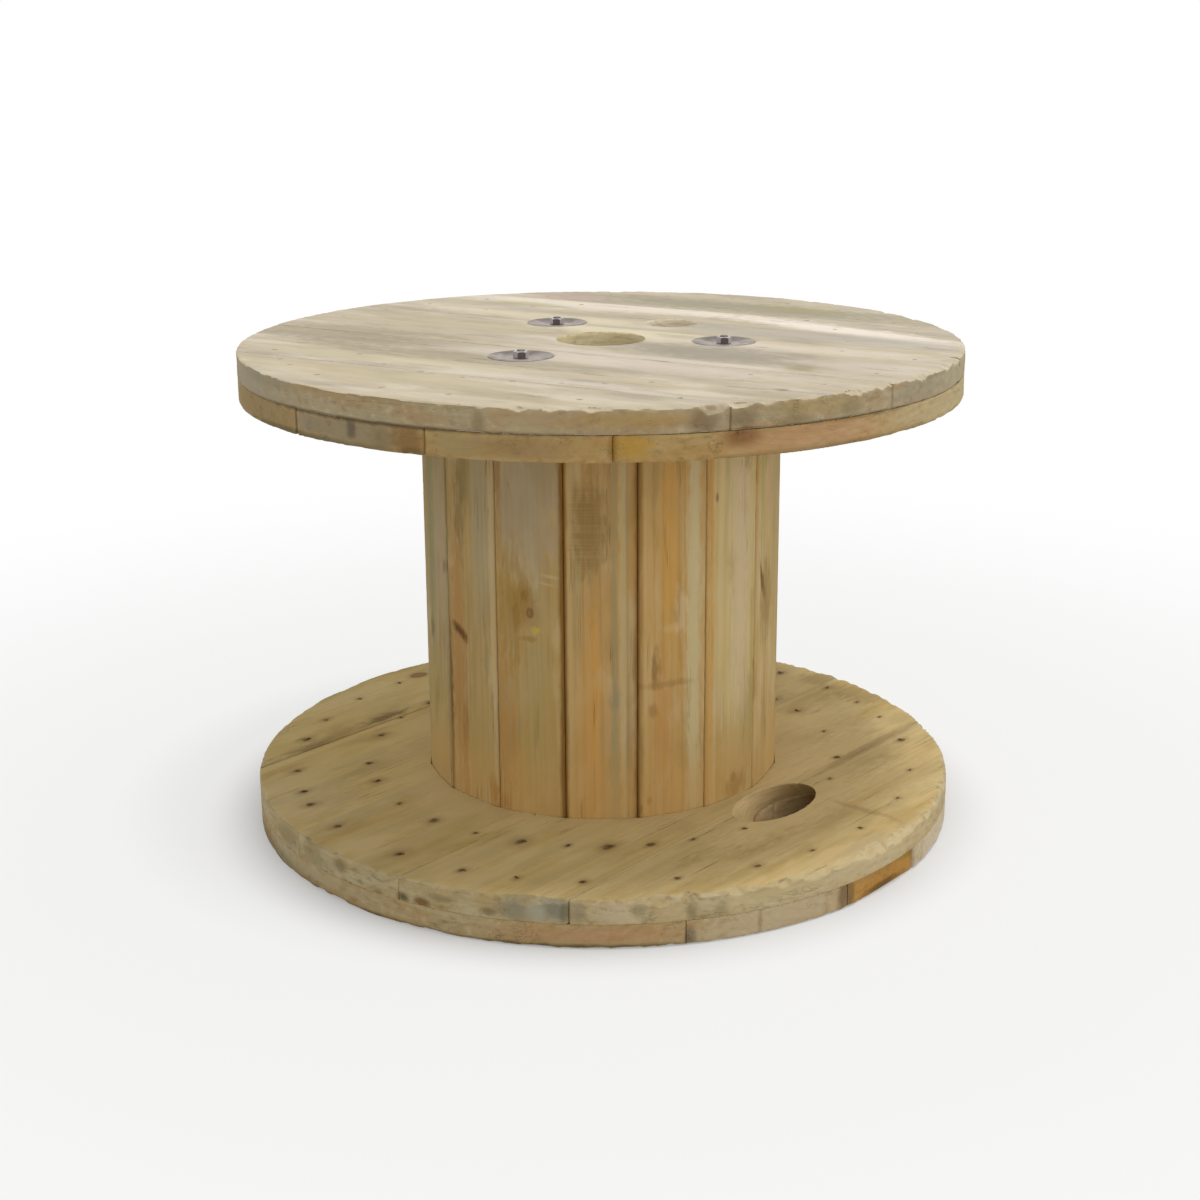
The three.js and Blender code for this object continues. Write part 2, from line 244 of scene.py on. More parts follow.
def break_arris(points, face, across, down, seed, chips=(), grain=0):
    """Breaks the arris between a board's rim and its face at that height.

    across and down say how far the broken corner reaches in from the rim and away from the face at
    its worst. It follows the fibres, so it changes quickly across the grain. Chips go deeper."""
    radius = from_axis(points)
    patches = unit_noise(points, (60, 60, FLAT), seed)
    bundles = unit_noise(points, (26, 7, FLAT), seed + 1)
    fibres = unit_noise(points, (30, 3.2, FLAT), seed + 2)
    bites = np.clip(noise(points, (11, 11, FLAT), seed + 6) * 2.2 - 0.3, 0, 1)
    amount = 0.12 + (0.3 + 0.7 * patches) * (0.45 * bundles + 0.4 * fibres + 0.5 * bites)
    angle = plan_angle(points, grain)
    first, last = SHELTERED
    from_front = (angle + 270) % 360 - 180
    sheltered = ramp(from_front, first, 8) * ramp(from_front, last, -8)
    reach = across * amount * (1 - SHELTER * sheltered)
    drop = down * amount * (1 - SHELTER * sheltered)
    for chip in chips:
        along = np.radians((angle - chip.angle + 180) % 360 - 180) * RIM_RADIUS
        lost = np.sqrt(np.clip(1 - (along / chip.half_length) ** 2, 0, 1)) * (0.6 + 0.4 * fibres)
        reach = np.maximum(reach, chip.depth * lost)
        drop = np.maximum(drop, chip.down * lost)
    inside = np.maximum(RIM_RADIUS - radius, 0)
    depth = np.abs(points[:, 2] - face)
    share = np.maximum(0, (1 - inside / reach - depth / drop) / 2)
    points[:, :2] *= ((radius - share * reach) / radius)[:, None]
    points[:, 2] -= np.sign(face) * np.minimum(share * drop, BOARD_THICKNESS / 3)
    return points


def recess_rim(points, depth, seed):
    """Sets a board's rim back, by up to this depth, with slow waves and the tears of a rough saw."""
    radius = from_axis(points)
    near = np.clip(1 - (RIM_RADIUS - radius) / 30, 0, 1)
    waves = 0.6 + 0.4 * noise(points, (45, 30, 9), seed)
    tears = np.clip(noise(points, (9, 9, 5), seed + 7), 0, 1) * 0.7 * (radius > RIM_RADIUS - SNAP)
    points[:, :2] *= (1 - (near * depth * waves + tears) / radius)[:, None]
    return points


def face_drop(layer, number, points):
    """How far the worn face of a board, in its own frame, lies inside the true one."""
    seed = board_seed(layer, number)
    depth = 0.35 + 0.25 * scatter(np.array([[number, 0, 0]]), seed)[0]
    return depth * (1 + 0.5 * noise(points, (160, 30, FLAT), seed + 5))


def lower_face(points, side, depth):
    """Brings a board's face on that side (+1 top, -1 bottom) in by a depth at each point."""
    points[:, 2] -= side * np.clip(side * points[:, 2] / TOP, 0, 1) * depth
    return points


def dent_at_washers(points, grain):
    """Presses the top face down where it meets the washers."""
    for angle in BOLT_ANGLES:
        x, y = polar(BOLT_RADIUS, angle - grain)
        away = np.hypot(points[:, 0] - x, points[:, 1] - y)
        pressed = np.clip(1 - np.abs(away - WASHER_RADIUS) / DENT_WIDTH, 0, 1)
        points[:, 2] -= DENT_DEPTH * pressed * (points[:, 2] > TOP - 2)
    return points


def board_seed(layer, number):
    return 100 * list(LAYERS).index(layer) + 10 * number


def board_wear(layer, number, right, left):
    """How a board of a layer, between two distances left of its grain, is worn."""
    node = f"{layer}_{number}"
    seed = board_seed(layer, number)
    grain = LAYERS[layer]["grain"]
    above, below = ARRISES[layer]
    torn = (CHIPS.get(node, ()), grain) if layer in FACING else ()

    def wear(points):
        points = square_up(points, right + SEAM / 2, left - SEAM / 2)
        if "inner" in layer:
            points = close_groove(points, 1 if "lower" in layer else -1, grain)
        drop = face_drop(layer, number, points)
        points = recess_rim(points, RIM_RECESS.get(node, RECESS), seed)
        points = break_arris(points, TOP, *above, seed + 3, *torn)
        points = break_arris(points, -TOP, *below, seed + 4)
        if layer == "upper_outer_board":
            points = dent_at_washers(points, grain)
        if layer == "lower_outer_board":
            return points
        return lower_face(points, 1 if layer in FACING else -1, drop)

    return wear


def close_seams(points):
    """Brings the sides of a stave out to its neighbours' behind its worn corners."""
    outer = -STAVE_THICKNESS / 2
    radius = BARREL_RADIUS + outer - points[:, 2]
    seam = radius * math.tan(math.radians(STAVE_PITCH / 2)) - SEAM_SLIT / 2
    side = np.abs(points[:, 1])
    deep = ramp(points[:, 2] - outer, SEAM_DEPTH, 1.5)
    deep *= side > seam - WIDEST_SEAM / 2 - SNAP
    points[:, 1] += np.sign(points[:, 1]) * deep * (seam - side)
    return points


def stave_wear(number):
    """How a stave is worn."""

    def wear(points):
        edge = ramp(np.abs(points[:, 1]), STAVE_EDGE, 8)
        outside = ramp(-points[:, 2], 0, 8)
        waves = unit_noise(points, (60, FLAT, FLAT), WAVE_SEED + number)
        nicks = np.clip(noise(points, (14, FLAT, FLAT), NICK_SEED + number) * 2 - 0.9, 0, 1)
        points[:, 2] += edge * outside * (EDGE_WEAR * waves + EDGE_NICKS * nicks)
        return close_seams(points)

    return wear


# ---- Carving ------------------------------------------------------------------------------------

# The fineness of each kind of piece, as carve() takes it
FACING_BOARD = (1.6, 0.28)
OTHER_BOARD = (2.2, 0.22)
STAVE = (1.6, 0.16)
WOOD_CREASE, STEEL_CREASE = 38, 35  # an edge is sharp where its faces turn by more degrees


def add_object(name, data):
    made = bpy.data.objects.new(name, data)
    bpy.context.scene.collection.objects.link(made)
    return made


def apply_modifier(piece, kind, **settings):
    """Runs one modifier over a piece's mesh and keeps the result as its mesh."""
    modifier = piece.modifiers.new(kind, kind)
    for key, value in settings.items():
        setattr(modifier, key, value)
    shaped = piece.evaluated_get(bpy.context.evaluated_depsgraph_get())
    result = bpy.data.meshes.new_from_object(shaped)
    piece.modifiers.clear()
    spent = piece.data
    piece.data = result
    bpy.data.meshes.remove(spent)


def carve(node, own, fineness, wear, material):
    """Stands in for a CAD node with a finely meshed copy that wear() has worn.

    own is the piece's own frame, and wear() moves points that are given in it. fineness is the size
    of the voxels that it is meshed with and the share of the faces that it then keeps."""
    voxel, share = fineness
    metres = Matrix.Scale(MM, 4) @ own
    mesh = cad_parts[node].data.copy()
    mesh.transform(metres.inverted())
    merge_corners(mesh)
    piece = add_object(f"worn_{node}", mesh)
    apply_modifier(piece, "REMESH", mode="VOXEL", voxel_size=voxel, adaptivity=0)
    points = np.empty(len(piece.data.vertices) * 3)
    piece.data.vertices.foreach_get("co", points)
    piece.data.vertices.foreach_set("co", wear(points.reshape(-1, 3)).ravel())
    apply_modifier(piece, "DECIMATE", ratio=share)
    piece.data.transform(metres)
    piece.data.shade_smooth()
    piece.data.set_sharp_from_angle(angle=math.radians(WOOD_CREASE))
    piece.modifiers.new("even shading", "WEIGHTED_NORMAL").keep_sharp = True
    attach(piece, "root")
    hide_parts(node)
    piece.data.materials.append(material)


def merge_corners(mesh):
    """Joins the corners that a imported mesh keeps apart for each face."""
    work = bmesh.new()
    work.from_mesh(mesh)
    bmesh.ops.remove_doubles(work, verts=work.verts, dist=1e-3)
    work.to_mesh(mesh)
    work.free()
    mesh.materials.clear()


# ---- Shader graphs ------------------------------------------------------------------------------


def operator(operation):
    return lambda left, right: left.graph.maths(operation, left, right)


def swapped(operation):
    """The same with the Field on the right of the sign."""
    return lambda right, left: right.graph.maths(operation, left, right)


class Field:
    """A number or colour that varies over a surface: one output of a shader node.

    Arithmetic on it adds Math nodes to its graph."""

    def __init__(self, graph, socket):
        self.graph = graph
        self.socket = socket

    __add__ = operator("ADD")
    __radd__ = swapped("ADD")
    __sub__ = operator("SUBTRACT")
    __rsub__ = swapped("SUBTRACT")
    __mul__ = operator("MULTIPLY")
    __truediv__ = operator("DIVIDE")
    __pow__ = operator("POWER")

    def __abs__(self):
        return self.graph.maths("ABSOLUTE", self)

    def step(self, low, high):
        """A smooth step from 0 at low to 1 at high, or the other way round where high is lower."""
        if high < low:
            return 1 - self.step(high, low)
        inputs = {"Value": self, "From Min": low, "From Max": high}
        return self.graph.field("MapRange", inputs, interpolation_type="SMOOTHSTEP")

    def tinted(self, amount, code):
        """This colour with that of an sRGB code laid over it, in full where amount is 1."""
        return self.graph.blend(amount, self, colour(code))


class Graph:
    """Builds the shader graph of a material or of the world."""

    def __init__(self, tree):
        self.tree = tree

    def node(self, kind, inputs, **settings):
        """Adds a node. inputs gives its sockets, by name or number, a Field or a constant."""
        made = self.tree.nodes.new("ShaderNode" + kind)
        for key, value in settings.items():
            setattr(made, key, value)
        for key, value in inputs.items():
            self.connect(made.inputs[key], value)
        return made

    def connect(self, socket, value):
        if isinstance(value, Field):
            self.tree.links.new(value.socket, socket)
        else:
            socket.default_value = value

    def field(self, kind, inputs, output=0, **settings):
        return Field(self, self.node(kind, inputs, **settings).outputs[output])

    def maths(self, operation, *terms):
        return self.field("Math", dict(enumerate(terms)), operation=operation)

    def lowest(self, first, second):
        return self.maths("MINIMUM", first, second)

    def highest(self, first, second):
        return self.maths("MAXIMUM", first, second)

    def blend(self, amount, first, second):
        """The first colour where amount is 0 and the second where it is 1."""
        inputs = {0: amount, 6: first, 7: second}
        return self.field("Mix", inputs, output=2, data_type="RGBA")

    def point(self, x, y, z):
        return self.field("CombineXYZ", {0: x, 1: y, 2: z})

    def parts(self, point):
        split = self.node("SeparateXYZ", {0: point})
        return [Field(self, output) for output in split.outputs]

    def noise(self, point, spacing, seed, detail):
        """Smooth noise from 0 to 1, its features this far apart along X, Y and Z."""
        scaled = self.field("VectorMath", {0: point, 1: spacing}, operation="DIVIDE")
        inputs = {"Vector": scaled, "W": float(seed), "Scale": 1, "Detail": detail}
        return self.field("TexNoise", inputs, noise_dimensions="4D")

    def spot(self, across, along, half_across, half_along, rough):
        """1 in the middle of an ellipse of these half sizes and 0 outside it, with a soft edge.

        rough, a noise from 0 to 1, makes the edge ragged."""
        away = self.distance(across / half_across, along / half_along)
        return (away + (rough - 0.5) * 1.8).step(1.4, 0.35)

    def distance(self, across, along):
        """How far two coordinates are from zero together."""
        return (across * across + along * along) ** 0.5

    def surface(self, **inputs):
        """Sets or links the sockets of the material's own shader. Height is in millimetres."""
        shader = self.tree.nodes["Principled BSDF"]
        bump = self.field("Bump", {"Distance": MM, "Height": inputs.pop("Height")})
        self.connect(shader.inputs["Normal"], bump)
        for key, value in inputs.items():
            self.connect(shader.inputs[key.replace("_", " ")], value)


def new_material(name):
    """A material and its graph."""
    material = bpy.data.materials.new(name)
    material.use_nodes = True
    return material, Graph(material.node_tree)


def colour(code):
    """The linear colour of a hexadecimal sRGB code."""
    shares = (int(code[i : i + 2], 16) / 255 for i in (0, 2, 4))
    return (*(((c + 0.055) / 1.055) ** 2.4 if c > 0.04 else c / 12.92 for c in shares), 1)


# ---- Wood ---------------------------------------------------------------------------------------


class Mark(NamedTuple):
    """A stripe, stain, blotch or patch of painted light or shade on a face of a piece, in the piece's own
    frame.

    tilt is how far it drifts in Y for each step in X. A sawn mark shows only on the saw's ridges."""

    x: float
    y: float
    half_x: float
    half_y: float
    tint: str
    amount: float = 0.6
    tilt: float = 0
    sawn: bool = False


class RimMark(NamedTuple):
    """A stain, or a patch of painted light or shade, on the rim.

    Its values: degrees round from the front to the right, height, half sizes.
    """

    angle: float
    height: float
    half_angle: float
    half_height: float
    tint: str
    amount: float = 0.6


class Knot(NamedTuple):
    """A knot, and how far round it the growth rings swirl."""

    x: float
    y: float
    radius: float
    swirl: float


HOLES_WITHIN = 310  # walls that stand nearer the axis than this are a hole's or a seam's
WALL = (0.75, 0.35)  # how level a surface is where its wall's colour sets in and is full: 1 is level
HUB_LIGHT = (250, 185)  # painted light lifts the shade round the barrel's foot, growing between these radii
TORN = (RIM_RADIUS - 18, RIM_RADIUS - 10)  # torn arrises set in between these radii
FOOT_LIGHT = (-110, -175)  # painted light, as if from the lower flange, sets in between these heights from a stave's middle
STAVE_SIDE = (29, 34)  # dirt on a stave sets in between these distances from its middle


class Look(NamedTuple):
    """What makes one piece of pine different from another. Colours are sRGB codes."""

    heart: tuple = (70, 20)  # the middle of the tree, as Y and Z in the piece's own frame
    ring: float = 7  # the width of a growth ring
    early: str = "c09d66"
    late: str = "a27c46"
    contrast: float = 0.22  # between early and late wood
    fine: float = 0.4  # how strongly the narrow streaks show
    warm: str = "b88d49"
    cool: str = "a6986b"
    grey: str = "a29b7c"
    weather: float = 0.25  # how strongly grey patches show
    mottle: float = 0.4  # and clouds of pale and dusk
    pale: str = "cdb68a"
    dusk: str = "93793f"
    flecks: float = 0
    hub_light: float = 0  # how strongly painted light lifts the shade round the barrel's foot
    rim: str = ""  # the flange's edge, grey and dark in places
    rim_grey: str = "a8a294"
    rim_dark: str = "7b6741"
    broken: str = "c9bd9d"  # the torn arrises, pale as fresh wood and paler still as a painted highlight
    worn: float = 0.3  # how strongly they show
    cut: str = "b09868"  # the walls of holes: fresh-cut wood, painted paler as light against their shade
    wrap: tuple = WALL  # the same for the rim's colour, which may reach over a worn arris
    seams: tuple = (0, 0)  # how dirty a stave's edges are, at its lowest Y and at its highest
    knots: tuple = ()
    marks: tuple = ()  # each as a Mark's values
    rim_marks: tuple = ()  # each as a RimMark's values
    stains: tuple = ()  # each as the (x, y, reach) of a nail's


# The noises in the wood: how far apart their features are along X, Y and Z, and their detail.
# Fibres run along X, so what follows them changes slowly that way. A noise's place in the table is
# added to the piece's seed.
NOISES = {
    "fibre": ((90, 1.1, 1.1), 3),
    "streak": ((600, 7, 12), 2),
    "drift": ((420, 60, 60), 0),
    "wave": ((150, 24, 24), 1),
    "uneven": ((22, 22, 22), 0),
    "warmth": ((450, 15, 25), 2),
    "greying": ((130, 22, 40), 4),
    "blotch": ((26, 9, 9), 3),
    "crack": ((160, 3.2, 3.2), 1),
    "cracked": ((70, 12, 12), 0),
    "saw": ((2.4, 90, 40), 1),
    "cloud": ((80, 26, 30), 3),
    "fleck": ((15, 4, 4), 2),
    "rim_patch": ((60, 60, 14), 3),
    "rim_streak": ((28, 28, 2.4), 3),
    "rough": ((14, 4, 4), 3),
    "speck": ((9, 9, 5.5), 3),
}

HEART_LEAN = 0.01  # how far the heart goes off in Y for each step in X
HEART_WANDER = 8  # how far it winds about that line
CRACK = "5a4329"
KNOT_HALO, KNOT_EDGE = "9c7440", "5b3c22"
KNOT_CORE = ("6b4a2c", "9a7044")
FLECKS = ("e2d8c4", "77694f")
STAVE_FOOT_LIGHT = "c49c5e"
STAVE_DIRT = "74501c"
SEAM_WALL = "9a7232"
NAIL_STAIN, NAIL_RUST = "82643a", "584324"


def wood_noise(g, point, name, seed):
    spacing, detail = NOISES[name]
    return g.noise(point, spacing, seed + list(NOISES).index(name), detail)


def pine(name, own, seed, look):
    """Sawn pine for a piece whose own frame is given. Returns its material."""
    material, g = new_material(name)
    texture = g.node("TexCoord", {})
    drum_point = Field(g, texture.outputs["Object"])
    p = own_point(g, drum_point, own)
    normal = Field(g, texture.outputs["Normal"])

    fibre = wood_noise(g, p, "fibre", seed)
    wave = wood_noise(g, p, "wave", seed)
    blotch = wood_noise(g, p, "blotch", seed)
    saw = wood_noise(g, p, "saw", seed)
    rings, knots = growth(g, p, look, seed, wave)
    wood = grain(g, p, look, seed, rings, fibre)
    wood = weathering(g, p, look, seed, wood, fibre)
    wood = add_marks(g, p, look, seed, wood, saw, fibre, wave)
    wood = add_knots(g, wood, knots, fibre)
    check = checks(g, p, seed)
    wood = wood.tinted(check * 0.45, CRACK)
    if look.rim:
        wood = rim_finish(g, drum_point, p, normal, wood, blotch, seed, look)
    else:
        wood = stave_edges(g, p, look, wood, blotch)
    if look.stains:
        wood = nail_stains(g, p, wood, blotch, look.stains)

    relief = rings * 0.12 + fibre * 0.3 + saw * 0.1 - check * 0.6 + blotch * 0.35
    roughness = 0.72 + fibre * 0.2
    g.surface(Base_Color=wood, Roughness=roughness, Height=relief, Specular_IOR_Level=0.25)
    return material


def own_point(g, drum_point, own):
    """A point of the drum's frame, in metres, in a piece's own frame, in millimetres."""
    mapping = {
        "Vector": drum_point,
        "Location": own.translation * MM,
        "Rotation": own.to_euler(),
        "Scale": (MM, MM, MM),
    }
    return g.field("Mapping", mapping, vector_type="TEXTURE")


def growth(g, p, look, seed, wave):
    """The growth rings round the heart, which swirl round knots.

    Returns them and each knot's (core, edge, halo)."""
    x, y, z = g.parts(p)
    heart_y, heart_z = look.heart
    drift = (wood_noise(g, p, "drift", seed) - 0.5) * HEART_WANDER
    across = y - heart_y + x * HEART_LEAN + drift + (wave - 0.5) * 5
    from_heart = g.distance(across, z - heart_z + drift)
    knots = []
    for knot in look.knots:
        bend = (wave - 0.5) * knot.radius
        away = g.distance((x - knot.x + bend) / 1.35, y - knot.y + bend)
        swirl = away.step(knot.swirl, knot.radius * 0.5)
        from_heart = from_heart + swirl * knot.swirl * 0.8
        core = away.step(knot.radius * 1.1, knot.radius * 0.7)
        edge = away.step(knot.radius * 0.6, knot.radius)
        edge = edge * away.step(knot.radius * 1.5, knot.radius)
        knots.append((core, edge, swirl))
    uneven = wood_noise(g, g.point(from_heart, x * 0.02, 0), "uneven", seed)
    phase = g.maths("FRACT", from_heart / look.ring + uneven * 3)
    return phase.step(0.35, 0.88) * phase.step(1, 0.93), knots


def grain(g, p, look, seed, rings, fibre):
    """Early and late wood, with warmer and cooler bands."""
    streak = wood_noise(g, p, "streak", seed)
    shade = rings * look.contrast + ((fibre - 0.5) * 0.7 + (streak - 0.5) * 1.2) * look.fine
    wood = g.blend(shade.step(-0.3, 0.75), colour(look.early), colour(look.late))
    warmth = wood_noise(g, p, "warmth", seed)
    wood = wood.tinted(warmth.step(0.5, 0.72) * 0.6, look.warm)
    return wood.tinted(warmth.step(0.48, 0.3) * 0.5, look.cool)


def add_marks(g, p, look, seed, wood, saw, fibre, wave):
    x, y, _ = g.parts(p)
    rough = wood_noise(g, p, "rough", seed)
    ragged = (fibre - 0.5) * 5 + (wave - 0.5) * 6
    for mark in itertools.starmap(Mark, look.marks):
        inside = g.spot(
            x - mark.x + (wave - 0.5) * 14,
            y - mark.y - (x - mark.x) * mark.tilt + ragged * min(1, mark.half_y / 8),
            mark.half_x,
            mark.half_y,
            rough,
        )
        if mark.sawn:
            inside = inside * (0.45 + saw.step(0.35, 0.65) * 0.55)
        wood = wood.tinted(inside * (0.7 + fibre * 0.6) * mark.amount, mark.tint)
    return wood


def add_knots(g, wood, knots, fibre):
    for core, edge, halo in knots:
        wood = wood.tinted(halo * 0.4, KNOT_HALO)
        wood = g.blend(core * 0.75, wood, g.blend(fibre, *map(colour, KNOT_CORE)))
        wood = wood.tinted(edge * 0.5, KNOT_EDGE)
    return wood


def weathering(g, p, look, seed, wood, fibre):
    """Soft clouds lighter and darker than the wood, grey patches, and small chips and specks."""
    cloud = wood_noise(g, p, "cloud", seed) + (fibre - 0.5) * 0.15
    wood = wood.tinted(cloud.step(0.5, 0.66) * look.mottle, look.pale)
    wood = wood.tinted(cloud.step(0.48, 0.32) * look.mottle, look.dusk)
    patches = wood_noise(g, p, "greying", seed) + (fibre - 0.5) * 0.35
    wood = wood.tinted(patches.step(0.42, 0.72) * look.weather, look.grey)
    if look.flecks:
        light, dark = FLECKS
        fleck = wood_noise(g, p, "fleck", seed)
        wood = wood.tinted(fleck.step(0.66, 0.76) * look.flecks, light)
        wood = wood.tinted(fleck.step(0.31, 0.22) * look.flecks, dark)
    return wood


def checks(g, p, seed):
    """Where fine drying cracks run along the grain."""
    crack = wood_noise(g, p, "crack", seed)
    where = wood_noise(g, p, "cracked", seed).step(0.6, 0.75)
    return abs(crack - 0.5).step(0.012, 0.002) * where


def rim_finish(g, drum_point, p, normal, wood, blotch, seed, look):
    """The weathered edge of a flange, its worn arrises and the walls of its holes.

    Painted light pales the hole walls, the wood round the barrel's foot and, as a highlight, the torn
    arrises.
    """
    east, north, height = g.parts(drum_point)
    angle = g.maths("ARCTAN2", east, north * -1) * (180 / math.pi)
    radius = g.distance(east, north) / MM
    upright = abs(g.parts(normal)[2])
    patch = wood_noise(g, p, "rim_patch", seed)
    streak = wood_noise(g, p, "rim_streak", seed)
    speck = wood_noise(g, p, "speck", seed)
    edge = g.blend(patch.step(0.38, 0.62), colour(look.rim), colour(look.rim_grey))
    edge = edge.tinted(streak.step(0.5, 0.72) * 0.35, look.rim_dark)
    edge = edge.tinted(speck.step(0.52, 0.7) * 0.65, look.rim_dark)
    edge = edge.tinted(speck.step(0.47, 0.3) * 0.5, look.broken)
    edge = g.blend(0.2, edge, wood)
    for mark in itertools.starmap(RimMark, look.rim_marks):
        inside = g.spot(
            angle - mark.angle,
            height / MM - mark.height,
            mark.half_angle,
            mark.half_height,
            speck * 0.6 + blotch * 0.4,
        )
        edge = edge.tinted(inside * mark.amount, mark.tint)
    # the walls of holes: fresh-cut wood, painted paler to lift the shade inside them
    wall = g.blend(streak.step(0.35, 0.7) * 0.3, colour(look.cut), colour(look.rim_dark))
    edge = g.blend(radius.step(HOLES_WITHIN, HOLES_WITHIN - 5), edge, wall)
    # painted light: paler round the barrel's foot, lifting the shade there
    wood = wood.tinted(radius.step(*HUB_LIGHT) * look.hub_light, look.pale)
    wrapped = upright.step(*look.wrap) * radius.step(HOLES_WITHIN, HOLES_WITHIN + 20)
    wood = g.blend(g.highest(upright.step(*WALL), wrapped) * 0.9, wood, edge)
    # painted highlight: torn arrises on slanting faces near the rim are paler, partly as fresh wood
    slanting = upright.step(0.3, 0.6) * upright.step(0.99, 0.9)
    slanting = slanting * radius.step(*TORN)
    torn = (patch + (streak - 0.5) * 0.6).step(0.4, 0.6)
    first, last = SHELTERED
    torn = torn * (1 - angle.step(first, first + 8) * angle.step(last, last - 8))
    return wood.tinted(slanting * torn * look.worn, look.broken)


def stave_edges(g, p, look, wood, blotch):
    """Dirt along a stave's two edges and in its seams, and painted light round its foot, as if from the
    lower flange.
    """
    x, y, z = g.parts(p)
    low, high = look.seams
    ragged = (blotch - 0.5) * 5
    # painted light: the foot of a stave is paler, as if lit from the lower flange
    foot = (x + ragged * 3).step(*FOOT_LIGHT) * 0.5
    wood = wood.tinted(foot, STAVE_FOOT_LIGHT)
    begin, full = STAVE_SIDE
    dirt = (y + ragged).step(-begin, -full) * low + (y + ragged).step(begin, full) * high
    wood = wood.tinted(dirt, STAVE_DIRT)
    inside = z.step(-8, -6.5) * (y.step(-30, -31) * low + y.step(30, 31) * high)
    return wood.tinted(inside, SEAM_WALL)


def nail_stains(g, p, wood, blotch, spots):
    """Darkens the wood round each (x, y, reach), further along the grain than across it."""
    x, y, _ = g.parts(p)
    nearest = 1000
    for spot_x, spot_y, reach in spots:
        away = g.distance((x - spot_x) / (1.5 * reach), (y - spot_y) / reach)
        nearest = g.lowest(nearest, away)
    nearest = nearest + (blotch - 0.5) * 1.8
    wood = wood.tinted(nearest.step(2.4, 0.6) * 0.35, NAIL_STAIN)
    return wood.tinted(nearest.step(1, 0.2) * 0.8, NAIL_RUST)


# ---- Steel --------------------------------------------------------------------------------------


def steel(name, own, seed, clean, dull, grime_and_shade, bands=(), facing=0, back=0):
    """Zinc-plated steel for a turned piece, dulled in clouds, dirty and painted with shade where it says.

    bands are (full, none, amount) of dirt and painted shade by the distance from the piece's own axis.
    facing is how much painted shade darkens the sides that look along Y, and back how much painted
    shade darkens the dish on its far side."""
    material, g = new_material(name)
    texture = g.node("TexCoord", {})
    p = own_point(g, Field(g, texture.outputs["Object"]), own)
    x, y, _ = g.parts(p)
    radius = g.distance(x, y)
    cloud = g.noise(p, (7, 7, 7), seed, 3)
    fine = g.noise(p, (0.9, 0.9, 0.9), seed + 1, 2)
    metal = g.blend(cloud.step(0.3, 0.7), colour(clean), colour(dull))
    metal = metal.tinted(fine.step(0.5, 0.75) * 0.25, grime_and_shade)
    # bands of dirt and painted shade, by the distance from the axis
    for full, none, amount in bands:
        here = (radius + (cloud - 0.5) * 3).step(none, full)
        metal = metal.tinted(here * amount * (0.6 + cloud * 0.8), grime_and_shade)
    # painted shade: the sides that look along Y are darkened as if turned away from the light
    if facing:
        across = abs(g.parts(Field(g, texture.outputs["Normal"]))[1])
        metal = metal.tinted(across.step(0.7, 0.8) * facing, grime_and_shade)
    # painted shade: the far side of the dish is darkened as if in its own shadow
    if back:
        far = (y + (cloud - 0.5) * 8).step(3, 20) * radius.step(11, 15)
        metal = metal.tinted(far * back, grime_and_shade)
    relief = fine * 0.05 + cloud * 0.05
    g.surface(Base_Color=metal, Roughness=0.42 + cloud * 0.25, Height=relief, Metallic=0.75)
    return material


# ---- Pieces -------------------------------------------------------------------------------------

END = 400  # half length of a stripe that runs on past both ends of a piece

# Plan angles of the nails that hold the layers together, in two rings round the drum.
NAIL_RINGS = {
    243: (-172, -160, -145, -131.7, -120, -108.4, -98, -89, -79.5, -69.9, -57, -20, -6, 11.9, 27.4,
          38, 52, 66, 80, 95, 108, 121, 132, 143, 156, 169),
    318: (-170.2, -160.1, -153.7, -142.7, -126.2, -113.7, -104, -93.2, -78, -64.3, -53, -40, -24.6,
          -11.1, 4, 16.9, 26.1, 36, 49, 62, 76, 88, 101, 114, 127, 138, 150, 163, 174),
}
# How badly nails at some of these angles have stained the wood, from 0 to 1, where it isn't random
NAIL_LUCK = {-131.7: 0.9, -126.2: 1, -108.4: 1, -98: 0.3, -89: 1, -78: 0.2, -142.7: 0.7}
STAIN_REACH, STAIN_SPREAD = 2.6, 3.8  # a stain's least reach, and how much more the worst has
NAIL_SIZE, NAIL_SPREAD = 0.7, 0.4  # the same of a nail's scale
LAYER_SEED, BOARD_SEED = 37, 7  # how far the wood's seeds of two layers, and of two boards, lie apart
FIRST_STAVE_SEED, STAVE_SEED = 216, 5  # the first stave's, and how far two staves' lie apart
HEART_SIDE, HEART_HEIGHT = 40, 60  # how far a board's heart is from its middle, left or right in turn

LAYER_LOOKS = {
    "upper_outer_board": Look(
        early="beb29b", late="a99d88", contrast=0.15, fine=0.35, warm="b8a987", cool="b2a99b",
        grey="a49b8e", weather=0.4, mottle=0.6, pale="d0c6b3", dusk="9a8f7b", flecks=0.5, rim="a1814f",
        rim_grey="a29067", rim_dark="7d6742", broken="c2b48f", worn=0.35, cut="ecdcb0",
    ),
    "upper_inner_board": Look(
        early="c4a069", late="a5804b", rim="a6834c", rim_grey="ab9362", weather=0.1, broken="b89f6c",
    ),
    "lower_inner_board": Look(
        early="c0ab75", late="ab945c", contrast=0.15, fine=0.28, warm="bb9c5c", cool="b2a274",
        grey="b0a684", weather=0.2, mottle=0.5, pale="d2bb88", dusk="a28a52", hub_light=0.5, rim="a5916a",
        rim_grey="b3a88a", rim_dark="6e6040", broken="c0b18c", worn=0.15, wrap=(0.985, 0.8), cut="cdaf7c",
    ),
    "lower_outer_board": Look(
        rim="a68c60", rim_grey="a99b76", rim_dark="806a44", cut="f2dcb0", weather=0.4,
    ),
}

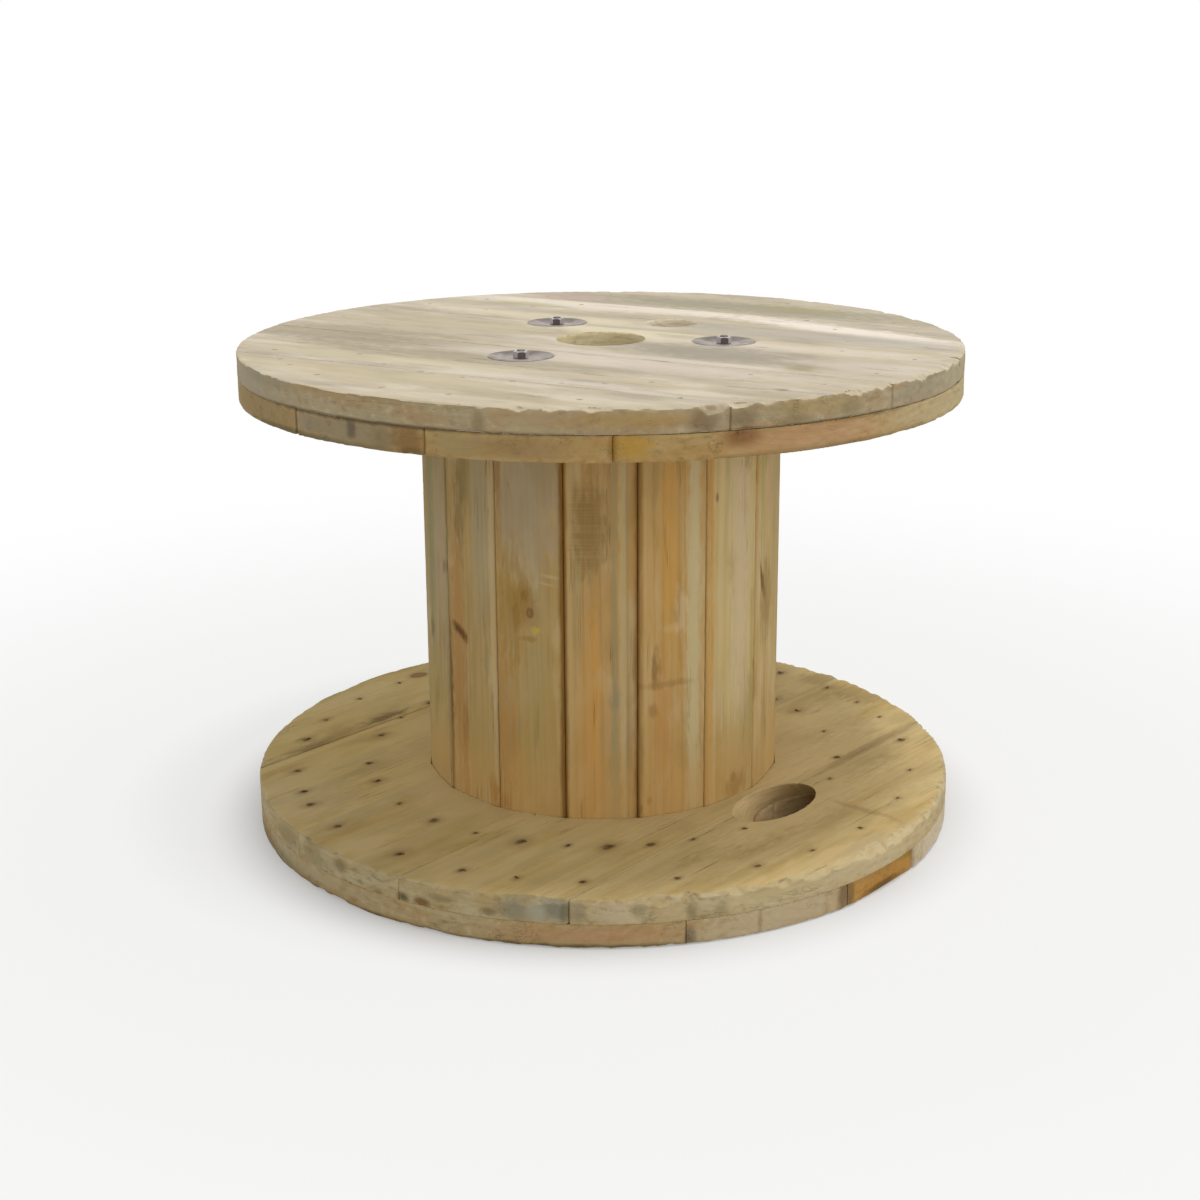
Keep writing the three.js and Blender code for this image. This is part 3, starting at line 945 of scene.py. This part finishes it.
BOARD_LOOKS = {
    "lower_outer_board_3": {
        "rim": "b57e20", "rim_grey": "a97a2c", "rim_dark": "8a5f18", "broken": "bd9040",
    },
    "upper_outer_board_4": {"cut": "f6ead0"},
    "lower_inner_board_5": {"early": "cbb577", "late": "b49d5e", "knots": (Knot(39, 320, 7, 18),)},
    "lower_inner_board_4": {"early": "cbb577", "late": "b49d5e"},
    "lower_inner_board_2": {"early": "c9b27a", "cut": "dcc190"},
    "lower_inner_board_1": {"early": "c9b27e", "cut": "dcc190"},
}

STAVE_LOOKS = {
    1: Look(
        early="b69a62", late="997f4a", grey="a0967c", weather=0.4, knots=(Knot(8, 2, 3.2, 17),),
        heart=(-80, 15), seams=(0, 0.85),
    ),
    2: Look(heart=(-90, 30), ring=9, seams=(0.65, 0.75)),
    3: Look(seams=(0.45, 0), early="c7a468", heart=(100, 20)),
    4: Look(early="cfb983", late="b09a63", knots=(Knot(-174, 4, 3, 9),), heart=(90, 15)),
    5: Look(early="c6ae76"),
    14: Look(early="a79c72", late="8d8258", weather=0.5),
    15: Look(early="ad9a70", late="8f8056", weather=0.4),
    16: Look(early="b59a66", late="99804e", weather=0.3, heart=(-70, 10), seams=(0.45, 0)),
}

RIM_MARKS = {
    "upper_outer_board": (
        (-68, 470, 16, 24, "a0967f", 0.8), (-58, 476, 9, 6, "8c8466"), (-32, 482, 14, 4, "7f7049"),
        # the long, thin dark marks at height 457.6 are painted shade in the joint between the two upper
        # layers
        (-32, 457.6, 30, 2.4, "4c3c24", 0.9), (-16.5, 464, 1, 12, "7c6c4a", 0.7), (-9, 470, 5, 9, "a68e66"),
        (4, 470, 9, 7, "a9853f"), (1, 482, 12, 3, "7c6c48", 0.5), (13.8, 468, 2.2, 12, "786040", 0.8),
        (19, 468, 2.4, 10, "76603c", 0.7), (19.5, 457.5, 3.4, 2.6, "6e4216", 1), (30, 472, 7, 6, "a58d56"),
        (27, 462, 3, 5, "786743"), (36.5, 466, 2, 10, "84704a"), (38, 457.6, 24, 1.8, "523f24", 0.8),
        (54, 468, 9, 14, "9a8f76", 0.8), (56, 480, 4, 4, "756c4c", 0.7), (70, 466, 12, 24, "a69b7c", 0.7),
    ),
    "upper_inner_board": (
        (-62, 446, 16, 18, "8c7a54", 0.8), (-52, 436, 12, 4, "4f4a26", 0.7),
        (-46, 448, 3, 9, "8a7f72", 0.7), (-38, 447, 9, 16, "888068", 0.8),
        # the long, thin dark marks at heights 457 and 458 are painted shade in the joint between the two
        # upper layers
        (-36.8, 449, 1, 8, "5c5346", 0.9), (-32, 458, 30, 2.6, "564630", 0.8), (-40, 435, 14, 4, "5c573c"),
        (-27, 446, 2.6, 14, "7a5a32", 0.8), (-26, 437, 2, 4, "4a3a22"), (-31, 446, 2.4, 12, "756a4e"),
        (-20, 446, 4, 13, "94875f"), (-11, 446, 7, 10, "8b7450"), (1.6, 446, 0.7, 12, "80581c", 0.8),
        (4, 448, 2.6, 12, "b48a34", 0.8), (19.3, 452, 3, 9, "6e4516", 1), (32, 446, 14, 14, "b8906c", 0.7),
        (47, 457, 20, 2.4, "6a5330"), (45, 435, 32, 4, "7a6440"), (62, 448, 20, 18, "b8aa84", 0.8),
    ),
    "lower_inner_board": (
        (-58, 34, 4, 12, "786c4c", 0.5), (-50, 34, 3, 14, "7b6c44", 0.5), (-43, 36, 1.6, 7, "6b5f3e", 0.7),
        (-46, 30, 2.5, 6, "a4987a", 0.5), (-35, 24, 1, 4, "6f6142"), (-30.4, 27, 1.1, 5, "4c4426", 0.9),
        (-27.2, 27, 1.5, 5, "694628", 0.9), (-24, 34, 2.4, 4, "6e5e38"), (-16.5, 29, 1.4, 4, "675a38", 0.7),
        (-12.5, 34, 3, 11, "807c6a", 0.8), (-7, 37, 2.4, 12, "767668", 0.9),
        (-9.6, 33, 1.6, 7, "9e9a88", 0.9), (-5.4, 34, 0.8, 12, "5f5c46", 0.7), (-3.4, 34, 1, 10, "7f7666"),
        (1.5, 34, 4, 12, "c0ae8e", 0.8), (5, 36, 1.2, 7, "7a6f50"), (9, 32, 2.6, 8, "baa47c", 0.7),
        (12.6, 34, 0.8, 14, "6c5f40", 0.8), (17, 30, 1.2, 8, "7b6e4e", 0.7), (29, 41, 10, 5, "948252", 0.5),
        # the pale c6b48c patch at 40 degrees is painted light on the rim's right side
        (40, 36, 30, 18, "c6b48c"),
    ),
    "lower_outer_board": (
        (-66, 6, 14, 8, "6f6a48"), (-50, 14, 18, 8, "b5a98a", 0.5), (-40, 0, 30, 3.5, "4f4a2c", 0.8),
        (-2, 12, 15, 9, "b08862"), (-2, 1, 16, 3.5, "4b4426", 0.9), (12.3, 8, 0.9, 11, "443622", 1),
        (26, 12, 14, 22, "bcab8c", 0.8), (23, 12, 0.4, 16, "8a7856"), (38, 12, 1.2, 20, "735a3e", 0.9),
        # the pale ccc0a8 patch at 67 degrees is painted light on the rim's right end
        (67, 12, 13, 60, "ccc0a8", 0.8),
    ),
    "lower_outer_board_3": (
        (39.4, 12, 1, 20, "6e5a38", 0.8), (48, 3, 5, 4, "67450e", 0.9), (55, 20, 3, 5, "8c7418", 0.7),
    ),
}

MARKS = {
    "upper_outer_board_1": (
        (-60, -275, 180, 26, "bbae8c", 0.5), (60, -300, 70, 22, "a0957c", 0.5),
        (90, -330, 120, 16, "c8bda4", 0.5),
    ),
    "upper_outer_board_2": (
        (-215, -108, 150, 34, "91866f", 0.75), (80, -110, 220, 28, "cabdb0"),
        (-60, -155, 160, 26, "998e78", 0.7), (-120, -200, 190, 16, "beb392"), (60, -215, 130, 11, "cdc3b2"),
        (255, -185, 50, 20, "a0927c", 0.5), (275, -160, 8, 6, "857a64", 0.7),
    ),
    "upper_outer_board_3": (
        (-200, 10, 130, 50, "b3a88c"), (140, -28, 110, 44, "928a7c", 0.8), (245, -60, 14, 22, "8a8058"),
        (10, 45, 120, 26, "d2c8a8", 0.7), (72, 46, 34, 10, "9a9184"), (210, 42, 150, 22, "cdc0ae", 0.75),
        (120, -78, 190, 12, "c9bdb0", 0.7), (-250, -72, 120, 24, "978b75", 0.75),
        (300, -25, 60, 30, "bfb2a6", 0.5),
    ),
    "upper_outer_board_4": (
        (-110, 197, 230, 26, "d8cebe", 0.9), (190, 163, 170, 22, "e0d6c8", 0.95, -0.22),
        (-130, 100, 150, 22, "cfc5a8", 0.7), (-200, 170, 45, 18, "a8a074"),
        (-255, 150, 45, 18, "9f9880", 0.5), (-185, 140, 26, 12, "a9a1a0"),
        (190, 112, 170, 32, "a8a095", 0.7), (-20, 135, 140, 16, "a69d8c"),
    ),
    "upper_outer_board_5": (
        (20, 262, 230, 38, "938c76", 0.85), (150, 235, 130, 16, "9f9784"), (-190, 250, 50, 18, "b39890"),
        (90, 275, 50, 18, "98905c", 0.5),
    ),
    "lower_inner_board_5": (
        (-60, 320, 90, 20, "d6c494", 0.5), (-165, 240, 110, 12, "8f7a4c", 0.5),
        (-82, 247, 34, 8, "72582c", 0.75), (-190, 238, 28, 9, "765f34", 0.5),
    ),
    "lower_inner_board_4": (
        (-296, 140, 60, 70, "cab890", 0.4),
    ),
    "lower_inner_board_3": (
        # the dark 9c8452 patch at the rim is painted shadow of the upper flange
        (290, -44, 30, 18, "dcc48c", 0.5), (330, -48, 22, 26, "9c8452", 0.7),
    ),
    "lower_inner_board_2": (
        # the pale e2ca94 patches are painted light right of the barrel, and the dark 9c8452 patch at the
        # rim is painted shadow of the upper flange
        (140, -185, 140, 26, "e2ca94", 0.5), (225, -120, 50, 44, "e2ca94", 0.5),
        (190, -206, 110, 4.5, "8c7546", 0.55), (318, -108, 28, 42, "9c8452", 0.75),
        (284, -188, 26, 14, "a08a5c", 0.5),
    ),
    "lower_inner_board_1": (
        # the pale e2ca94 patch is painted light beside the barrel
        (10, -248, 150, 26, "e2ca94", 0.45), (150, -288, 70, 18, "a08a5c", 0.4),
        (190, -210, 110, 4, "8c7546", 0.5), (44, -300, 5, 40, "98784e", 0.45, 0.1),
        (-190, -282, 40, 16, "a08650", 0.5), (-24, -339, 44, 10, "a89878", 0.5),
    ),
    "stave_1": (
        (110, 0, 80, 40, "a3937a"), (150, -30, 50, 4, "8a6c42"), (-70, -31, 190, 7, "a98240"),
        (15, -16, 60, 16, "9a7a3a", 0.55), (24, -7, 16, 14, "94702e", 0.55), (24, -4, 6, 5, "80602c"),
        (-130, -23, 100, 10, "b0803f", 0.5), (-186, -30, 10, 7, "9a5a1e", 0.7),
        (-100, 12, 110, 18, "aa945a"), (46, 24, 2, 10, "c2b084", 0.45, -0.4),
        (38, 20, 1.6, 9, "c2b084", 0.35, -0.4), (-8, 8, 4, 5, "cfae3c", 0.7),
        (-14, -3, 10, 14, "b29864", 0.5), (2, -12, 20, 4, "8f6a2a", 0.5), (-17, 0, 3, 9, "8f6a2a", 0.5),
    ),
    "stave_2": (
        (-100, -13, 110, 14, "c59248", 0.5), (-80, -5, 130, 4, "cf9c4c", 0.4), (0, 13, END, 3.4, "9a8f68"),
        (0, 21, END, 4, "bfae82"), (0, 25, END, 1.6, "968c68", 0.5),
        (92, -14, 44, 17, "7c663c", 0.6, 0, True), (92, -8, 48, 16, "8a703f", 0.5),
        (0, -29, END, 3, "c3a46a", 0.5), (-70, 13, 16, 5, "7f7a60", 0.4), (-120, 27, 70, 4, "8a6534", 0.3),
    ),
    "stave_3": (
        (70, -4, 110, 9, "c9984a"), (0, -27, END, 4, "c6aa74", 0.5), (0, 21, END, 8, "c6b88e", 0.8),
        (-110, -12, 70, 12, "bb8744", 0.55), (-6, 0, 5, 14, "cbab74", 0.5), (8, 8, 24, 6, "d2b890"),
        (-46, -18, 18, 4, "7c5a26"), (-63, -8, 4, 30, "8c6832", 0.4, 0.2), (-88, -21, 8, 5, "7f5e30", 0.4),
        (-185, -33, 5, 3, "6b4a26", 0.7), (-178, -24, 4, 3, "7a5830"),
    ),
    "stave_4": (
        (20, -30, END, 5, "c3934c"), (120, -31, 80, 3, "b0803a", 0.3), (30, 10, 200, 14, "ccb896", 0.7),
        (180, 10, 40, 30, "b39a6c", 0.5), (164, 20, 26, 12, "80602f"), (112, -23.5, 4, 2, "7f6240", 0.7),
        (-150, 2, 50, 25, "b0914e", 0.5), (-90, 30, 120, 4, "a5904e", 0.5),
        (-184, 8, 12, 16, "7c5a24", 0.7),
    ),
    "stave_5": (
        (14, -19, 22, 5, "5c4020", 0.9, -0.3), (-6, -8, 46, 16, "92743f"),
        (160, -10, 32, 20, "8a6f44", 0.45), (-95, -22, 40, 8, "d0b284", 0.5), (120, -22, 60, 6, "a6a060"),
        (110, -6, 60, 6, "c39e7c", 0.5), (60, 20, 140, 12, "a39468", 0.5),
    ),
    "stave_15": (
        (60, -8, 140, 12, "87825a"), (60, 22, 120, 10, "ad9578"), (34, 30, 8, 4, "7a6844"),
        (-40, -11, 12, 7, "6a5c34"), (-130, 0, 70, 40, "a8904e"), (-130, 34, 100, 4, "74541f", 0.25),
    ),
    "stave_16": (
        (-40, -19, 150, 12, "a87a40", 0.7), (130, -6, 30, 10, "85744a"), (90, -13, 36, 8, "7b6740", 0.5),
        (100, 18, 110, 14, "a0977a"), (0, 33, END, 4, "bfab82"), (-28, -15, 8, 9, "64401a", 0.95, -0.9),
        (-50, 22, 22, 4, "8a7f5a", 0.5), (-130, -32.5, 110, 4.5, "6c4a16", 0.8),
        (-140, 12, 60, 20, "ab935a"), (-184, 29, 20, 5, "965c10", 0.9), (-160, -10, 60, 5, "966622"),
    ),
}


def nail_points():
    """Every nail's plan point, with a number from 0 to 1 of its own."""
    for ring, angles in NAIL_RINGS.items():
        for angle in angles:
            luck = scatter(np.array([[ring, int(10 * angle), 0]]), 7)[0] * 0.5 + 0.5
            yield Vector((*polar(ring, angle), 0)), NAIL_LUCK.get(angle, luck)


def on_board(layer, point):
    """A plan point in a layer's own frame, and the number of the board it is on."""
    x, y, _ = board_place(layer).inverted() @ point
    return x, y, 1 + sum(y > seam for seam in LAYERS[layer]["seams"])


def stained_spots(layer, number):
    """The (x, y, reach) of the stain round each nail through a board."""
    spots = []
    for point, luck in nail_points():
        x, y, board = on_board(layer, point)
        if board == number:
            spots.append((x, y, STAIN_REACH + STAIN_SPREAD * luck**2))
    return spots


def add_boards():
    for index, layer in enumerate(LAYERS):
        own = board_place(layer)
        fineness = FACING_BOARD if layer in FACING else OTHER_BOARD
        edges = (-RIM_RADIUS, *LAYERS[layer]["seams"], RIM_RADIUS)
        for number in range(1, 6):
            node = f"{layer}_{number}"
            low, high = edges[number - 1 : number + 1]
            heart = ((low + high) / 2 + HEART_SIDE * (-1) ** number, HEART_HEIGHT)
            look = LAYER_LOOKS[layer]._replace(
                heart=heart,
                marks=MARKS.get(node, ()),
                rim_marks=RIM_MARKS.get(node, RIM_MARKS[layer]),
                stains=stained_spots(layer, number) if "inner" in layer else (),
                **BOARD_LOOKS.get(node, {}),
            )
            material = pine(f"pine_{node}", own, LAYER_SEED * index + BOARD_SEED * number, look)
            carve(node, own, fineness, board_wear(layer, number, low, high), material)


def add_staves():
    for number in range(1, STAVE_COUNT + 1):
        node = f"stave_{number}"
        own = stave_place(number)
        look = STAVE_LOOKS.get(number, Look())._replace(marks=MARKS.get(node, ()))
        material = pine(f"pine_{node}", own, FIRST_STAVE_SEED + STAVE_SEED * (number - 1), look)
        carve(node, own, STAVE, stave_wear(number), material)


def spun(profile, segments, closed=False, shape=None):
    """The corners and faces of a profile of (radius, height) points turned about Z.

    shape(radius, height, angle) may change a point's radius."""
    corners, faces = [], []
    for step in range(segments):
        angle = 2 * math.pi * step / segments
        for radius, height in profile:
            out = shape(radius, height, angle) if shape else radius
            corners.append((out * math.cos(angle), out * math.sin(angle), height))
    count = len(profile)
    for step in range(segments):
        here, there = step * count, (step + 1) % segments * count
        for i in range(count if closed else count - 1):
            after = (i + 1) % count
            faces.append((here + i, there + i, there + after, here + after))
    return corners, faces


def swept(path, radii, sides):
    """The corners and faces of a bar along a path of points in its XZ plane, tapered by radii."""
    corners, faces = [], []
    for i, (x, z) in enumerate(path):
        before, after = path[max(i - 1, 0)], path[min(i + 1, len(path) - 1)]
        heading = math.atan2(after[1] - before[1], after[0] - before[0])
        for side in range(sides):
            turn = 2 * math.pi * side / sides
            across, up = radii[i] * math.cos(turn), radii[i] * math.sin(turn)
            corners.append((x - up * math.sin(heading), across, z + up * math.cos(heading)))
    for i in range(len(path) - 1):
        for side in range(sides):
            after = (side + 1) % sides
            here, there = i * sides, (i + 1) * sides
            faces.append((here + side, here + after, there + after, there + side))
    faces.append(tuple(range(sides))[::-1])
    faces.append(tuple(range((len(path) - 1) * sides, len(path) * sides)))
    return corners, faces


def soften(outline, reach):
    """Rounds each corner of a closed outline, over this reach along its sides."""
    points = []
    corners = [Vector(corner) for corner in outline]
    for i, corner in enumerate(corners):
        before, after = corners[i - 1], corners[(i + 1) % len(corners)]
        start = corner + (before - corner).normalized() * reach
        end = corner + (after - corner).normalized() * reach
        for share in (0, 0.25, 0.5, 0.75, 1):
            points.append(start.lerp(corner, share).lerp(corner.lerp(end, share), share))
    return [tuple(point) for point in points]


def assemble(name, shapes, material, stands_for=()):
    """Makes one piece of some shapes, each given as (corners, faces, place) in millimetres."""
    work = bmesh.new()
    for corners, faces, own in shapes:
        made = [work.verts.new(own @ Vector(corner) * MM) for corner in corners]
        for face in faces:
            work.faces.new([made[i] for i in face])
    bmesh.ops.remove_doubles(work, verts=work.verts, dist=1e-6)
    bmesh.ops.recalc_face_normals(work, faces=work.faces)
    mesh = bpy.data.meshes.new(name)
    work.to_mesh(mesh)
    work.free()
    mesh.shade_smooth()
    mesh.set_sharp_from_angle(angle=math.radians(STEEL_CREASE))
    piece = add_object(name, mesh)
    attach(piece, "root")
    if stands_for:
        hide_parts(*stands_for)
    piece.data.materials.append(material)


# ---- Tie bolts ----------------------------------------------------------------------------------

# Dirt and painted shade on a washer: in the corner of its dish and on the slope, but not under the nut
WASHER_GRIME_AND_SHADE = ((30, 24, 0.15), (17, 13.5, 0.2))

# Each metal's clean, dull and grimy colours; on washers and nuts the grimy one also paints shade
WASHER_ZINC = ("b0a49d", "978c86", "5f564e")
NUT_ZINC = ("c6bfc0", "aaa4a4", "514a46")
BOLT_STEEL = ("6d6966", "514e4c", "35302b")
HAMMERED_HEADS = ("a89f8c", "968b76", "6e604c")
RUSTY_POINTS = ("7a6244", "5e4a30", "3f2e1c")

THREAD_PITCH = 1.25
THREAD_LENGTH = 22
THREAD_DEPTH = 0.6
THREAD_ROWS = 6  # rows of faces in one turn of the thread
TURNED_SIDES, BOLT_SIDES = 96, 48  # of a washer or nut, and of a bolt


def washer_shape():
    """A dished washer, the top of its rim at z = 0."""
    hole, dish_edge = SHANK_RADIUS + 0.5, WASHER_RADIUS - WASHER_RIM_WIDTH
    top = [(WASHER_RADIUS, 0), (dish_edge, 0)]
    top += [(radius, -WASHER_DISH) for radius in (WASHER_SEAT_RADIUS, hole)]
    under = [(radius, height - WASHER_THICKNESS) for radius, height in reversed(top)]
    return spun(soften(top + under, 0.7), TURNED_SIDES, closed=True)


def nut_shape():
    """A hexagon nut with turned corners, standing on z = 0 with a flat facing -Y."""
    corner = NUT_ACROSS_FLATS / 2 / math.cos(math.pi / 6)
    face = NUT_ACROSS_FLATS / 2 - 0.2
    chamfer = (corner - face) * math.tan(math.radians(30))
    bore = SHANK_RADIUS + 0.05
    rise = [(face + (corner - face) * share, chamfer * share) for share in (0, 0.25, 0.5, 0.75, 1)]
    fall = [(radius, NUT_HEIGHT - height) for radius, height in reversed(rise)]
    mouth = [(bore, 0.5), (bore + 0.6, 0)]
    far_mouth = [(radius, NUT_HEIGHT - height) for radius, height in reversed(mouth)]
    profile = [*mouth, *rise, *fall, *far_mouth]

    def hexagon(radius, _, angle):
        off_middle = angle % (math.pi / 3) - math.pi / 6
        return min(radius, NUT_ACROSS_FLATS / 2 / math.cos(off_middle))

    return spun(profile, TURNED_SIDES, closed=True, shape=hexagon)


def bolt_shape(length):
    """A round-headed bolt whose head's crown is at z = 0, threaded at the top."""
    dome = [math.radians(angle) for angle in range(90, -1, -10)]
    head = [(HEAD_RADIUS * math.cos(a), HEAD_HEIGHT - HEAD_HEIGHT * math.sin(a)) for a in dome]
    start = length - THREAD_LENGTH
    rows = round(THREAD_LENGTH / THREAD_PITCH * THREAD_ROWS)
    thread = [(SHANK_RADIUS, start + i * THREAD_PITCH / THREAD_ROWS) for i in range(rows)]
    tip = [(SHANK_RADIUS - 0.9, length), (0, length)]
    profile = [(0, 0), *head, (SHANK_RADIUS, HEAD_HEIGHT), *thread, *tip]

    def cut_thread(radius, height, angle):
        if radius < SHANK_RADIUS or not start < height < length:
            return radius
        turn = (height / THREAD_PITCH - angle / (2 * math.pi)) % 1
        return radius - THREAD_DEPTH * abs(2 * turn - 1)

    return spun(profile, BOLT_SIDES, shape=cut_thread)


def add_tie_bolts():
    for number, angle in enumerate(BOLT_ANGLES, 1):
        x, y = polar(BOLT_RADIUS, angle)
        axis = Matrix.Translation((x, y, 0))
        # the washer's dish gets painted shade on its far side, and dirt and painted shade in bands
        washer_zinc = steel(f"washer_zinc_{number}", axis, number, *WASHER_ZINC, WASHER_GRIME_AND_SHADE, back=0.7)
        # the nut's sides that look along Y get painted shade
        nut_zinc = steel(f"nut_zinc_{number}", axis, 20 + number, *NUT_ZINC, facing=0.9)
        bolt_steel = steel(f"bolt_steel_{number}", axis, 10 + number, *BOLT_STEEL)
        for kind, flip in (("upper_washer", 1), ("lower_washer", -1)):
            node = f"{kind}_{number}"
            low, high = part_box(node)
            rim_height = (high[2] if flip == 1 else low[2]) / MM
            own = Matrix.Translation((x, y, rim_height)) @ Matrix.Diagonal((1, flip, flip, 1))
            assemble(f"spun_{node}", [(*washer_shape(), own)], washer_zinc, [node])
        low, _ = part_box(f"nut_{number}")
        turn = Matrix.Rotation(math.radians(NUT_TURNS[number - 1]), 4, "Z")
        nut = (*nut_shape(), Matrix.Translation((x, y, low[2] / MM)) @ turn)
        assemble(f"hex_nut_{number}", [nut], nut_zinc, [f"nut_{number}"])
        low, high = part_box(f"tie_bolt_{number}")
        bolt = (*bolt_shape((high[2] - low[2]) / MM), Matrix.Translation((x, y, low[2] / MM)))
        assemble(f"threaded_bolt_{number}", [bolt], bolt_steel, [f"tie_bolt_{number}"])


# ---- Nails --------------------------------------------------------------------------------------

# A nail's flat head, and its point, which comes through the wood and is hammered over
NAIL_HEAD = [(0, 0.22), (1.6, 0.2), (2.9, 0.1), (3.3, -0.15), (3.2, -0.6), (0, -0.6)]
CLENCH_PATH = [(0, -1.5), (0, -0.3), (0.4, 0.4), (1.2, 0.6), (2.8, 0.5), (4.4, 0.1), (5.6, -0.5)]
CLENCH_RADII = [1, 1, 1.1, 1, 0.9, 0.65, 0.25]
HEAD_SIDES, CLENCH_SIDES = 14, 7


def worn_face(layer, side, point):
    """The height of a layer's worn face at a plan point."""
    x, y, number = on_board(layer, point)
    drop = face_drop(layer, number, np.array([[x, y, 0.0]]))[0]
    return LAYERS[layer]["middle"] + side * (TOP - drop)


def add_nails():
    """The heads on the outer faces of the flanges and the clenched points on their inner faces."""
    head, clench = spun(NAIL_HEAD, HEAD_SIDES), swept(CLENCH_PATH, CLENCH_RADII, CLENCH_SIDES)
    for layer, side in zip(LAYERS, (-1, 1, -1, 1)):
        shape, kind = (head, "heads") if "outer" in layer else (clench, "points")
        shapes = []
        for point, luck in nail_points():
            height = worn_face(layer, side, point)
            turn = Matrix.Rotation(2 * math.pi * luck * 7, 4, "Z")
            own = Matrix.Translation((point.x, point.y, height)) @ Matrix.Diagonal((1, side, side, 1))
            own = own @ turn @ Matrix.Scale(NAIL_SIZE + NAIL_SPREAD * luck, 4)
            shapes.append((*shape, own))
        tints = HAMMERED_HEADS if kind == "heads" else RUSTY_POINTS
        nail_steel = steel(f"nails_{layer}", Matrix.Identity(4), 40, *tints)
        assemble(f"nail_{kind}_{layer.split('_')[0]}", shapes, nail_steel)


# ---- Camera, light and floor --------------------------------------------------------------------

AMBIENT_LOW = 1.0  # near the horizon
AMBIENT_HIGH = 0.3  # overhead
AMBIENT_RIGHT = 0.35  # how much stronger it is on the right
FLOOR_REACH = 12


def add_camera():
    lens = bpy.data.cameras.new("camera")
    lens.lens = 56.123
    lens.sensor_width = 36
    lens.shift_y = -0.0517
    camera = add_object("camera", lens)
    camera.location = (0, -1.8381, 0.7726)
    camera.rotation_euler = [math.radians(angle) for angle in (74.885, 0.315, -0.028)]
    bpy.context.scene.camera = camera


def add_lamp():
    """A soft lamp, high up and a little to the front right of the drum."""
    light = bpy.data.lights.new("overhead_lamp", "AREA")
    light.shape = "DISK"
    light.size = 1
    light.energy = 150
    lamp = add_object("overhead_lamp", light)
    lamp.location = (0.92, -0.34, 5.5)
    aim = Vector((0, 0, 0.2)) - lamp.location
    lamp.rotation_euler = aim.to_track_quat("-Z", "Y").to_euler()


def seen_directly(g):
    """1 for a ray that shows the plain white surroundings: the camera's, or by way of metal or glass."""
    path = g.node("LightPath", {})
    rays = [Field(g, path.outputs[f"Is {kind} Ray"]) for kind in ("Camera", "Glossy", "Transmission")]
    return g.highest(g.highest(rays[0], rays[1]), rays[2])


def add_surroundings():
    """A soft even studio, brighter near the horizon than overhead, which shows as plain white."""
    world = bpy.data.worlds.new("studio")
    bpy.context.scene.world = world
    world.use_nodes = True
    world.node_tree.nodes.clear()
    g = Graph(world.node_tree)
    direction = Field(g, g.node("TexCoord", {}).outputs["Generated"])
    east, _, height = g.parts(direction)
    level = AMBIENT_LOW + height.step(0.3, 1) * (AMBIENT_HIGH - AMBIENT_LOW)
    level = level * (1 + east.step(0, 1) * AMBIENT_RIGHT)
    ambient = g.field("Background", {"Color": (1, 0.99, 0.97, 1), "Strength": level})
    white = g.field("Background", {"Color": (1, 1, 1, 1), "Strength": 1})
    shown = g.field("MixShader", {0: seen_directly(g), 1: ambient, 2: white})
    g.node("OutputWorld", {"Surface": shown})


def add_floor():
    """A pale floor that keeps the drum's soft shadow and turns plain white further out."""
    corners = [(x * FLOOR_REACH, y * FLOOR_REACH, 0) for x, y in ((-1, -1), (1, -1), (1, 1), (-1, 1))]
    mesh = bpy.data.meshes.new("floor")
    mesh.from_pydata(corners, [], [(0, 1, 2, 3)])
    floor = add_object("floor", mesh)
    floor.location.z = -0.0005
    material, g = new_material("pale_floor")
    material.node_tree.nodes.clear()
    spot = Field(g, g.node("TexCoord", {}).outputs["Object"])
    from_middle = g.field("VectorMath", {0: spot}, output=1, operation="LENGTH")
    glow = from_middle.step(0.5, 1.5) * 0.28 + from_middle.step(0.3, 0.42) * 0.72
    paint = g.field("BsdfDiffuse", {"Color": (0.6, 0.6, 0.59, 1)})
    white = g.field("Emission", {"Color": (1, 1, 1, 1), "Strength": 1})
    shown = g.field("MixShader", {0: seen_directly(g) * glow, 1: paint, 2: white})
    g.node("OutputMaterial", {"Surface": shown})
    mesh.materials.append(material)


add_camera()
add_lamp()
add_surroundings()
add_floor()
add_boards()
add_staves()
add_tie_bolts()
add_nails()

bpy.context.scene.view_settings.view_transform = "Standard"
